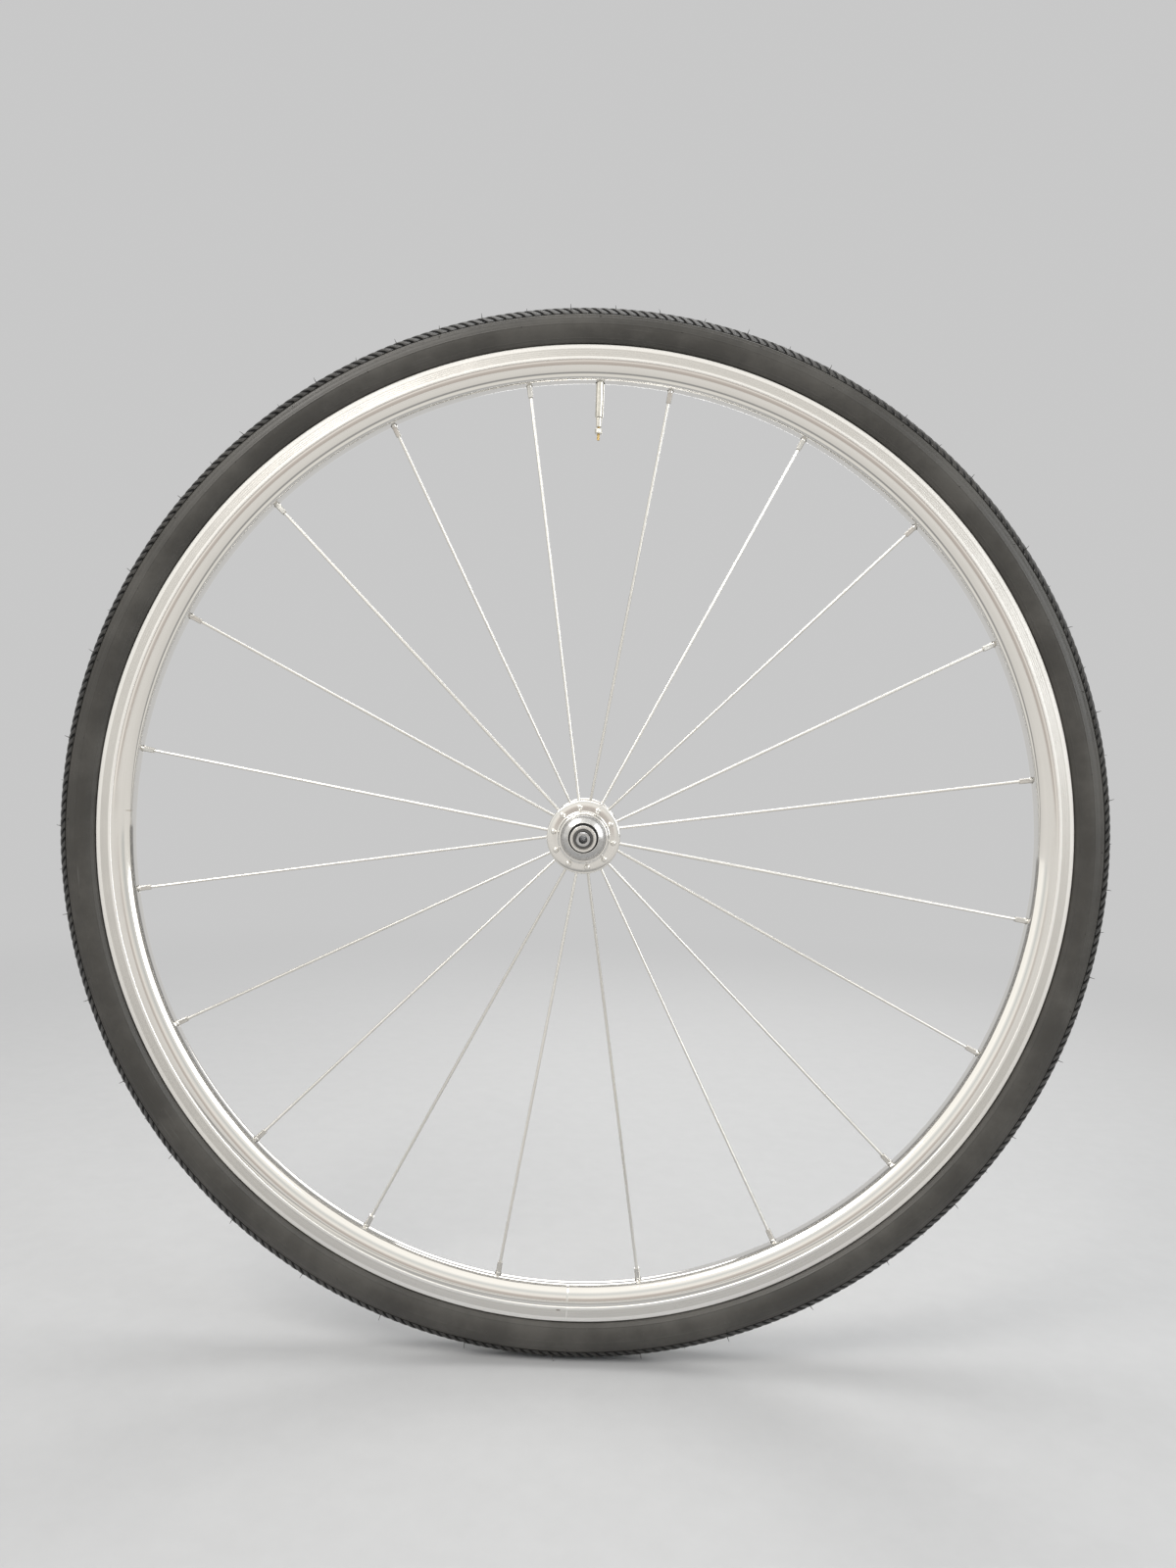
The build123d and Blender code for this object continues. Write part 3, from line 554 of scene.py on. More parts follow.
def rounded(corners, radius=SMALL_ROUND):
    """Closed outline: each corner is an arc tangent to its two sides, and each side gets a few points. A
    corner's third value, where it has one, is its own radius."""
    corners = np.asarray(corners, float)
    corner = corners[:, :2]
    wanted = corners[:, 2:] if corners.shape[1] > 2 else radius
    back = np.roll(corner, 1, axis=0) - corner
    ahead = np.roll(corner, -1, axis=0) - corner
    back_length = np.linalg.norm(back, axis=1, keepdims=True)
    ahead_length = np.linalg.norm(ahead, axis=1, keepdims=True)
    back /= back_length
    ahead /= ahead_length
    half = np.arccos(np.clip((back * ahead).sum(axis=1, keepdims=True), -1, 1)) / 2
    cut = np.minimum(wanted / np.tan(half), ROUND_SHARE * np.minimum(back_length, ahead_length))
    middle = back + ahead
    centre = corner + middle / np.linalg.norm(middle, axis=1, keepdims=True) * cut / np.cos(half)
    first = corner + back * cut
    last = corner + ahead * cut
    turn = (np.pi - 2 * half)[:, None]
    share = np.linspace(0, 1, ROUND_POINTS)[None, :, None]
    from_first = np.sin((1 - share) * turn) / np.sin(turn) * (first - centre)[:, None]
    from_last = np.sin(share * turn) / np.sin(turn) * (last - centre)[:, None]
    arcs = centre[:, None] + from_first + from_last
    straights = last[:, None] + (np.roll(first, -1, axis=0) - last)[:, None] * SIDE_PLACES[None, :, None]
    return np.concatenate((arcs, straights), axis=1).reshape(-1, 2)


def both_sides(half):
    """Closed outline from its half at positive heights, whose two ends lie in the middle plane."""
    return np.vstack((half, half[-2:0:-1] * (1, -1)))


def outward(outline):
    """Unit normals of a closed outline, at right angles to the line between each point's neighbours."""
    ahead = np.roll(outline, -1, axis=0)
    along = ahead - np.roll(outline, 1, axis=0)
    normal = np.stack((along[:, 1], -along[:, 0]), axis=1)
    normal /= np.linalg.norm(normal, axis=1, keepdims=True)
    area = (outline[:, 0] * ahead[:, 1] - ahead[:, 0] * outline[:, 1]).sum()
    return normal * np.sign(area)


# Surfaces, each a grid of points and the corner numbers of its cells


def evenly(count):
    """Angles of count columns, spaced evenly round a full turn."""
    return np.linspace(0, TURN, count, endpoint=False)


def turned_from(angle, start):
    """Angle from a start, within half a turn each way."""
    return (angle - start + np.pi) % TURN - np.pi


def column_at(angle, count):
    """Number of the column nearest to an angle, of count columns round a full turn."""
    return np.round(angle / TURN * count).astype(int) % count


def cells(rows, columns, wrap_rows=True):
    """Corner numbers of a grid's cells. The last column joins the first, and so do the rows where they
    wrap."""
    row = np.arange(rows if wrap_rows else rows - 1)[:, None] * columns
    below = (row + columns) % (rows * columns)
    column = np.arange(columns)
    beside = (column + 1) % columns
    return np.stack((row + column, row + beside, below + beside, below + column), axis=-1).reshape(-1, 4)


def swung(radius, height, angle, upright=False):
    """Points (radius cos angle, height, radius sin angle) round the axle, or round the valve where
    upright."""
    across = radius * np.cos(angle)
    around = radius * np.sin(angle)
    height = height + 0 * angle
    order = (across, around, height) if upright else (across, height, around)
    return np.stack(order, axis=-1).reshape(-1, 3)


def turned(outline, count, carve=None, upright=False):
    """Turned piece: an outline swung round a full turn, its radius as carve(radius, height, angle) says.
    An outline that starts on the axis isn't closed."""
    angle = evenly(count)
    radius = outline[:, :1] + 0 * angle
    height = outline[:, 1:] + 0 * angle
    if carve is not None:
        radius = carve(radius, height, angle)
    return swung(radius, height, angle, upright), cells(len(outline), count, wrap_rows=outline[0, 0] > 0)


def flats(half, wave, keyed):
    """Carve that cuts two flats where keyed(radius, height) holds: the radius stays within the flats'
    half width over the size of a wave, a sine or a cosine of the angle."""

    def carve(radius, height, angle):
        """Radius within the flats."""
        flat = half / np.maximum(np.abs(wave(angle)), LEAST_WAVE)
        return np.where(keyed(radius, height), np.minimum(radius, flat), radius)

    return carve


def hole_patch(outline, angle, column, first, last, reach, hole, depth, into):
    """Border, points and normals of the patch about one hole. Rings of points run from the border in to
    the hole's circle, then down its wall to its floor, as HOLE_RINGS says. A normal blends the outline's
    own normal, the direction to the hole's axis and the floor's normal."""
    border = np.array(
        [(first, aside) for aside in range(-reach, reach)]
        + [(row, reach) for row in range(first, last)]
        + [(last, aside) for aside in range(reach, -reach, -1)]
        + [(row, -reach) for row in range(last, first, -1)]
    )
    border[:, 1] = (column + border[:, 1]) % len(angle)
    section = outline[first : last + 1]
    facing = outward(outline)[first : last + 1]
    along = np.concatenate(((0,), np.cumsum(np.hypot(*np.diff(section, axis=0).T))))
    along -= along[-1] / 2
    middle = np.interp(0, along, section[:, 0])
    aside = turned_from(angle[border[:, 1]], angle[column]) * middle
    edge = np.stack((aside, along[border[:, 0] - first]), axis=1)
    ring = edge / np.linalg.norm(edge, axis=1, keepdims=True) * hole
    spread, inward, sunk, face, wall, floor = HOLE_RINGS.T[..., None]
    plan = inward[..., None] * ring + spread[..., None] ** HOLE_CROWDING * (edge - ring)
    turn = angle[column] + plan[..., 0] / middle
    tables = (*section.T, *facing.T)
    radius, height, out, up = (np.interp(plan[..., 1], along, values) for values in tables)
    points = swung(radius + sunk * depth * into[0], height + sunk * depth * into[1], turn)
    run = (section[-1] - section[0]) / np.linalg.norm(section[-1] - section[0])
    back = wall / hole * ring[:, 1]
    out = face * out - back * run[0] - floor * into[0]
    up = face * up - back * run[1] - floor * into[1]
    normals = swung(out, up, turn) + swung(-wall / hole * ring[:, 0], 0, turn + np.pi / 2)
    return border, points, normals / np.linalg.norm(normals, axis=1, keepdims=True)


def pierced(outline, angle, bands, dent=None):
    """Turned piece with round holes: its points, cells and normals, and which cells lie in a hole. In
    each band of rows a hole's patch takes the place of the cells about the hole's column."""
    rows, columns = len(outline), len(angle)
    radius = outline[:, :1] + 0 * angle
    height = outline[:, 1:] + 0 * angle
    if dent is not None:
        dent(radius, height)
    facing = outward(outline)
    points = [swung(radius, height, angle)]
    normals = [swung(facing[:, :1], facing[:, 1:], angle)]
    kept = np.ones((rows, columns), bool)
    patches = []
    in_hole = []
    total = rows * columns
    for first, last, hole_columns, reach, *sizes in bands:
        for column in hole_columns:
            kept[first:last, (column + np.arange(-reach, reach)) % columns] = False
            border, inside, inside_normals = hole_patch(outline, angle, column, first, last, reach, *sizes)
            count = len(border)
            inside_numbers = total + np.arange(len(inside)).reshape(-1, count)
            numbers = np.vstack((border[:, 0] * columns + border[:, 1], inside_numbers))
            patches.append(numbers.ravel()[cells(*numbers.shape, wrap_rows=False)])
            in_hole.append(np.repeat(RING_IN_HOLE, count))
            points.append(inside)
            normals.append(inside_normals)
            total += len(inside)
    grid = cells(rows, columns)[kept.ravel()]
    in_hole = np.concatenate((np.zeros(len(grid), bool), *in_hole))
    return np.concatenate(points), np.concatenate((grid, *patches)), np.concatenate(normals), in_hole


def joined(surfaces):
    """Several surfaces as one, their corner numbers moved up by the points that come before."""
    counts = np.cumsum([0] + [len(points) for points, _ in surfaces[:-1]])
    points = np.concatenate([points for points, _ in surfaces])
    return points, np.concatenate([corners + count for count, (_, corners) in zip(counts, surfaces)])


def volume(points, corners):
    """Six times the signed volume inside a closed surface: the sum of its triangles' triple products."""
    a, b, c, d = (points[corners[:, i]] for i in range(4))
    return (np.cross(a, b) * c).sum() + (np.cross(a, c) * d).sum()


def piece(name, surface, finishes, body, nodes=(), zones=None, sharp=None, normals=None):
    """Mesh object of a surface, with doubled points welded, that rides on a body and stands for the given
    nodes. The zones are each cell's number among the finishes."""
    points, corners = surface
    if volume(points, corners) < 0:
        corners = corners[:, ::-1]
    mesh = bpy.data.meshes.new(name)
    mesh.from_pydata(points, [], corners.tolist())
    for finish in finishes:
        mesh.materials.append(looks[finish])
    if zones is not None:
        mesh.polygons.foreach_set("material_index", zones.astype(np.int32))
    mesh.polygons.foreach_set("use_smooth", np.ones(len(corners), bool))
    if normals is not None:
        mesh.normals_split_custom_set_from_vertices(normals)
    work = bmesh.new()
    work.from_mesh(mesh)
    bmesh.ops.remove_doubles(work, verts=work.verts, dist=WELD)
    work.to_mesh(mesh)
    work.free()
    if sharp is not None:
        mesh.set_sharp_from_angle(angle=np.radians(sharp))
    thing = bpy.data.objects.new(name, mesh)
    bpy.context.scene.collection.objects.link(thing)
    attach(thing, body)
    if nodes:
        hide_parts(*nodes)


# Shader nodes


class Graph:
    """One node tree, with short calls that add a node and give back its output."""

    def __init__(self, tree):
        """Starts from an empty tree."""
        self.tree = tree
        tree.nodes.clear()

    def feed(self, node, inputs):
        """Links or sets a node's inputs, by name or number."""
        for name, value in inputs.items():
            if isinstance(value, bpy.types.NodeSocket):
                self.tree.links.new(value, node.inputs[name])
            else:
                node.inputs[name].default_value = value

    def add(self, kind, inputs=None, **settings):
        """New node with its settings and inputs."""
        node = self.tree.nodes.new("ShaderNode" + kind)
        for name, value in settings.items():
            setattr(node, name, value)
        self.feed(node, inputs or {})
        return node

    def math(self, operation, first, second=0.0):
        """One step of arithmetic."""
        return self.add("Math", {0: first, 1: second}, operation=operation).outputs[0]

    def times(self, first, second):
        """Product of two values."""
        return self.math("MULTIPLY", first, second)

    def squares(self, first, second):
        """Sum of the squares of two values."""
        return self.math("ADD", self.times(first, first), self.times(second, second))

    def spread(self, value, limits, to=(0.0, 1.0), smooth=False):
        """Value stretched from its limits to another range, and held at the ends."""
        inputs = {"Value": value, "From Min": limits[0], "From Max": limits[1]}
        inputs |= {"To Min": to[0], "To Max": to[1]}
        kind = "SMOOTHSTEP" if smooth else "LINEAR"
        return self.add("MapRange", inputs, interpolation_type=kind).outputs["Result"]

    def mix(self, mask, first, second):
        """Colour from the first to the second as the mask grows. Plain colours are three numbers."""
        first, second = ((*tone, 1) if isinstance(tone, tuple) else tone for tone in (first, second))
        return self.add("Mix", {0: mask, 6: first, 7: second}, data_type="RGBA").outputs[2]

    def noise(self, vector, scale, detail, roughness):
        """Noise of about 0 to 1."""
        inputs = {"Vector": vector, "Scale": scale, "Detail": detail, "Roughness": roughness}
        return self.add("TexNoise", inputs).outputs["Fac"]

    def scaled(self, vector, scale):
        """Vector or colour times a value."""
        return self.add("VectorMath", {0: vector, "Scale": scale}, operation="SCALE").outputs[0]

    def vector(self, x, y, z):
        """Vector of three values."""
        return self.add("CombineXYZ", {"X": x, "Y": y, "Z": z}).outputs[0]

    def parts(self, vector):
        """The three values of a vector."""
        return self.add("SeparateXYZ", {0: vector}).outputs

    def place(self):
        """Object coordinates."""
        return self.add("TexCoord").outputs["Object"]

    def bump(self, height, strength, distance):
        """Normal bent by a height."""
        return self.add("Bump", {"Height": height, "Strength": strength, "Distance": distance}).outputs[0]

    def group(self, effect, inputs=None):
        """Outputs of a shared effect with its own values."""
        return self.add("Group", inputs, node_tree=effect).outputs


def new_effect(name, inputs, outputs):
    """Empty node group with named number inputs and outputs, the graph to fill it, and a call to give an
    output."""
    tree = bpy.data.node_groups.new(name, "ShaderNodeTree")
    graph = Graph(tree)
    for label, value in inputs.items():
        socket = tree.interface.new_socket(label, in_out="INPUT", socket_type="NodeSocketFloat")
        socket.default_value = value
    for label in outputs:
        tree.interface.new_socket(label, in_out="OUTPUT", socket_type="NodeSocketFloat")
    given = tree.nodes.new("NodeGroupInput").outputs
    result = tree.nodes.new("NodeGroupOutput").inputs
    return tree, graph, given, lambda label, value: tree.links.new(value, result[label])


def make_round_axle():
    """Radius from the axle, place along it and turn about it, from Object coordinates."""
    tree, graph, _, give = new_effect("round_axle", {}, ("Radius", "Along", "Turn"))
    axis = graph.parts(graph.place())
    give("Radius", graph.math("SQRT", graph.squares(axis[0], axis[2])))
    give("Along", axis[1])
    give("Turn", graph.math("ARCTAN2", axis[2], axis[0]))
    return tree


def make_lathe_lines():
    """Fine rings round the axle: noise that changes fast across radius and length and slowly round the
    turn."""
    tree, graph, given, give = new_effect("lathe_lines", {"Fineness": 9000.0, "Waver": 1.5}, ("Lines",))
    at = graph.group(round_axle)
    across = graph.times(at["Radius"], given["Fineness"])
    along = graph.times(at["Along"], given["Fineness"])
    around = graph.times(at["Turn"], given["Waver"])
    give("Lines", graph.noise(graph.vector(across, along, around), *RING_NOISE))
    return tree


def make_handling():
    """Soft smudges and thin random hairlines, both from noise on Object coordinates."""
    tree, graph, given, give = new_effect("handling", {"Size": 40.0}, ("Smudge", "Hairline"))
    scaled = graph.scaled(graph.place(), given["Size"])
    give("Smudge", graph.spread(graph.noise(scaled, *SMUDGE_NOISE), SMUDGE_LIMITS, smooth=True))
    bent = graph.add("TexNoise", {"Vector": scaled, **BEND_NOISE}).outputs["Color"]
    swirl = graph.add("VectorMath", {0: scaled, 1: bent}, operation="ADD").outputs[0]
    stretch = {"Vector": swirl, "Scale": HAIRLINE_STRETCH, "Rotation": HAIRLINE_TURN}
    streak = graph.noise(graph.add("Mapping", stretch).outputs[0], *HAIRLINE_NOISE)
    give("Hairline", graph.spread(streak, HAIRLINE_LIMITS, smooth=True))
    return tree


def make_mark():
    """One small mark on the right side: a soft-edged oval about a turn and a radius."""
    inputs = {"Turn": 0.0, "Radius": 0.3, "Half Width": 0.001, "Half Length": 0.001}
    tree, graph, given, give = new_effect("mark", inputs, ("Mask",))
    at = graph.group(round_axle)
    aside = graph.math("ABSOLUTE", graph.math("SUBTRACT", at["Turn"], given["Turn"]))
    across = graph.math("DIVIDE", graph.times(aside, at["Radius"]), given["Half Width"])
    away = graph.math("ABSOLUTE", graph.math("SUBTRACT", at["Radius"], given["Radius"]))
    along = graph.math("DIVIDE", away, given["Half Length"])
    inside = graph.spread(graph.squares(across, along), MARK_LIMITS, (1.0, 0.0), smooth=True)
    give("Mask", graph.times(inside, graph.math("LESS_THAN", at["Along"], 0.0)))
    return tree


round_axle = make_round_axle()
lathe_lines = make_lathe_lines()
handling = make_handling()
mark = make_mark()


# Finishes


def new_finish(name):
    """Material with its Principled shader wired to the output."""
    finish = bpy.data.materials.new(name)
    finish.use_nodes = True
    graph = Graph(finish.node_tree)
    shader = graph.add("BsdfPrincipled")
    graph.add("OutputMaterial", {"Surface": shader.outputs[0]})
    return finish, graph, shader


def make_rubber(name, black, grey, rough, scuffs=0.0, dust=0.0, sipes=False):
    """Rubber: fine grain in the bump, cloudy greying, dust, and scuffs drawn out round the wheel. Where
    it has sipes, their floors, which lie deeper below the section's circle, are darkened to black as
    painted shade."""
    finish, graph, shader = new_finish(name)
    at = graph.group(round_axle)
    place = graph.place()
    cloud = graph.spread(graph.noise(place, *CLOUD_NOISE), CLOUD_LIMITS, smooth=True)
    across = graph.times(at["Radius"], STREAK_FINENESS)
    along = graph.times(at["Along"], STREAK_FINENESS)
    around = graph.times(at["Turn"], STREAK_WAVER)
    streaks = graph.noise(graph.vector(across, along, around), *STREAK_NOISE)
    streak = graph.spread(streaks, STREAK_LIMITS, smooth=True)
    patch = graph.spread(graph.noise(place, *PATCH_NOISE), PATCH_LIMITS, smooth=True)
    scuff = graph.times(graph.times(streak, patch), scuffs)
    speck = graph.spread(graph.noise(place, *SPECK_NOISE), SPECK_LIMITS, smooth=True)
    pale = graph.math("MAXIMUM", scuff, graph.times(speck, dust))
    colour = graph.mix(pale, graph.mix(cloud, black, grey), DUST_TONE)
    # Painted shade: the sipes' floors fade to near black with depth
    if sipes:
        out = graph.math("SUBTRACT", at["Radius"], section_centre)
        height = graph.math("SQRT", graph.squares(out, at["Along"]))
        limits = [section_radius - share * SIPE_DEPTH for share in SIPE_SHADE]
        colour = graph.mix(graph.spread(height, limits), SIPE_PAINTED_SHADE, colour)
    grain = graph.noise(place, *GRAIN_NOISE)
    clouded = graph.math("ADD", graph.times(grain, GRAIN_SHARE), cloud)
    dulled = graph.spread(clouded, GRAIN_LIMITS, rough)
    worn = graph.math("ADD", dulled, graph.times(scuff, SCUFF_WEAR))
    normal = graph.bump(grain, GRAIN_BUMP, GRAIN_RELIEF)
    graph.feed(shader, {"Base Color": colour, "Roughness": worn, "Normal": normal})
    graph.feed(shader, {"Specular IOR Level": RUBBER_SPECULAR})
    return finish


def make_metal(name, pale, dull, rough, rings, smudge, shine=0.0, marks_and_highlights=()):
    """Turned metal: rings round the axle in colour, roughness and bump, with smudges, hairlines and
    single marks."""
    finish, graph, shader = new_finish(name)
    fineness, waver, line_bump = rings
    lines = graph.group(lathe_lines, {"Fineness": fineness, "Waver": waver})["Lines"]
    marks = graph.group(handling, {"Size": smudge})
    toned = graph.mix(graph.spread(lines, RING_TONES), dull, pale)
    colour = graph.mix(graph.times(marks["Smudge"], SMUDGE_TINT), toned, dull)
    # Single marks, among them the seam's painted highlight
    for turn, radius, half_width, half_length, tone in marks_and_highlights:
        place = {"Turn": turn, "Radius": radius, "Half Width": half_width, "Half Length": half_length}
        colour = graph.mix(graph.group(mark, place)["Mask"], colour, tone)
    ground = graph.spread(lines, RING_WEAR, rough)
    smudged = graph.times(marks["Smudge"], (rough[1] - rough[0]) * SMUDGE_WEAR)
    worn = graph.math("ADD", ground, smudged)
    scratched = graph.math("ADD", worn, graph.times(marks["Hairline"], HAIRLINE_WEAR))
    tangent = graph.add("Tangent", direction_type="RADIAL", axis="Y").outputs[0]
    normal = graph.bump(lines, line_bump, RING_RELIEF)
    graph.feed(shader, {"Base Color": colour, "Metallic": 1.0, "Roughness": scratched, "Normal": normal})
    graph.feed(shader, {"Anisotropic": shine, "Anisotropic Rotation": RING_SHINE_TURN, "Tangent": tangent})
    return finish


looks = {name: make_rubber(name, *values) for name, values in RUBBERS.items()}
looks |= {name: make_metal(name, *values) for name, values in METALS.items()}


# Rim: hooked flanges, ground brake tracks with fine grooves, and a drilled, curved spoke bed


def rim_outline():
    """Half of the rim's skin from the well's middle to the bed's middle, closed by its mirror image, and
    the finish of each row of the half. The lower wall is a quarter ellipse and each groove a bell-shaped
    dip in the brake track."""
    bead_seat = rim_edge - FLANGE_HEIGHT
    well = bead_seat - WELL_DEPTH
    foot = rim_edge - TRACK_HEIGHT
    hook = rim_edge - HOOK_HEIGHT
    corners = (
        (well, 0),
        (well, WELL_HALF - WELL_SLOPE),
        (bead_seat, WELL_HALF),
        (bead_seat, CHANNEL_HALF),
        (hook - HOOK_DEPTH, CHANNEL_HALF),
        (hook, HOOK_HALF),
        (rim_edge - SMALL_ROUND, HOOK_HALF),
        (rim_edge, HOOK_HALF + SMALL_ROUND),
        (rim_edge, rim_half - EDGE_ROUND),
    )
    flange = np.vstack([line(*stretch) for stretch in zip(corners, corners[1:], FLANGE_ROWS)])
    edge_centre = (rim_edge - EDGE_ROUND, rim_half - EDGE_ROUND)
    edge = round_about(edge_centre, EDGE_ROUND, line(0, np.pi / 2, EDGE_ROWS))
    grooves = rim_edge - GROOVE_PLACES
    plain = np.linspace(rim_edge - EDGE_ROUND, foot + LEDGE_HEIGHT, TRACK_ROWS)
    clear = np.abs(plain[:, None] - grooves).min(axis=1) > GROOVE_CLEAR
    places = np.sort(np.concatenate((plain[clear], (grooves[:, None] + GROOVE_ROWS).ravel())))[::-1]
    dips = np.exp(-(((places[:, None] - grooves) / GROOVE_WIDTH) ** 2)).sum(axis=1)
    track = np.stack((places, rim_half - GROOVE_DEPTH * dips), axis=1)
    share = np.linspace(0, 1, LEDGE_ROWS + 2)[1:-1]
    ledge = np.stack((foot + LEDGE_HEIGHT * (1 - share), rim_half - TRACK_STEP * share**2), axis=1)
    depth = foot - (rim_edge - RIM_DEPTH)
    wall = round_about((foot, 0), (-depth, rim_half - TRACK_STEP), np.linspace(np.pi / 2, 0, WALL_ROWS))
    # The track's rows by its outer edge and by the ledge take the painted highlight, as do the edge round
    # and the ledge
    outer = int((places > rim_edge - OUTER_HIGHLIGHT_BAND).sum())
    inner = int((places < foot + INNER_HIGHLIGHT_BAND).sum())
    counts = (len(flange), len(edge) + outer, len(track) - outer - inner, inner + len(ledge), len(wall))
    zones = np.repeat((POLISH, PAINTED_HIGHLIGHT, TRACK, PAINTED_HIGHLIGHT, POLISH), counts)
    return both_sides(np.vstack((flange, edge, track, ledge, wall))), zones


def make_rim():
    """Rim skin with a hole for each nipple and one for the valve. The fine seam opposite the valve is a
    column of points drawn in along the outline's normals, with the normals beside it tilted towards
    it."""
    outline, zones = rim_outline()
    rows = len(outline)
    angle = evenly(RIM_COLUMNS)
    seam = column_at(SEAM_ANGLE, RIM_COLUMNS)
    near = np.arange(-SEAM_COLUMNS, SEAM_COLUMNS + 1)
    angle[seam + near] = SEAM_ANGLE + SEAM_TURN * near
    facing = outward(outline)

    def dent(radius, height):
        """Draws the seam's column in."""
        radius[:, seam] -= SEAM_DEPTH * facing[:, 0]
        height[:, seam] -= SEAM_DEPTH * facing[:, 1]

    bed = len(zones) - 1
    reach = int((np.abs(outline[bed - WALL_ROWS : bed, 1]) < BED_REACH).sum())
    half_step = RIM_COLUMNS // (4 * SPOKES_PER_SIDE)
    nipple_columns = half_step * (2 * np.arange(2 * SPOKES_PER_SIDE) + 1)
    valve_columns = [column_at(VALVE_ANGLE, RIM_COLUMNS)]
    bands = [
        (bed - reach, bed + reach, columns, HOLE_COLUMNS, hole, HOLE_DEPTH, (1, 0))
        for columns, hole in ((nipple_columns, NIPPLE_HOLE), (valve_columns, VALVE_HOLE))
    ]
    points, corners, normals, in_hole = pierced(outline, angle, bands, dent)
    by_column = normals[: rows * RIM_COLUMNS].reshape(rows, RIM_COLUMNS, 3)
    tilt = SEAM_TILT * np.array((-np.sin(SEAM_ANGLE), 0, np.cos(SEAM_ANGLE)))
    by_column[:, seam - 1] += tilt
    by_column[:, seam + 1] -= tilt
    normals /= np.linalg.norm(normals, axis=1, keepdims=True)
    row = np.minimum(corners[:, 0] // RIM_COLUMNS, rows - 1)
    # Cells in a hole take painted shade
    zones = np.where(in_hole, HOLE_PAINTED_SHADE, zones[np.minimum(row, rows - 1 - row)])
    surface = points, corners
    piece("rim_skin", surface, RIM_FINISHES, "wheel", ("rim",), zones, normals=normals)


# Tyre: a casing with sidewall rings, a tread strip with slanted sipes, and the hairs that moulding leaves


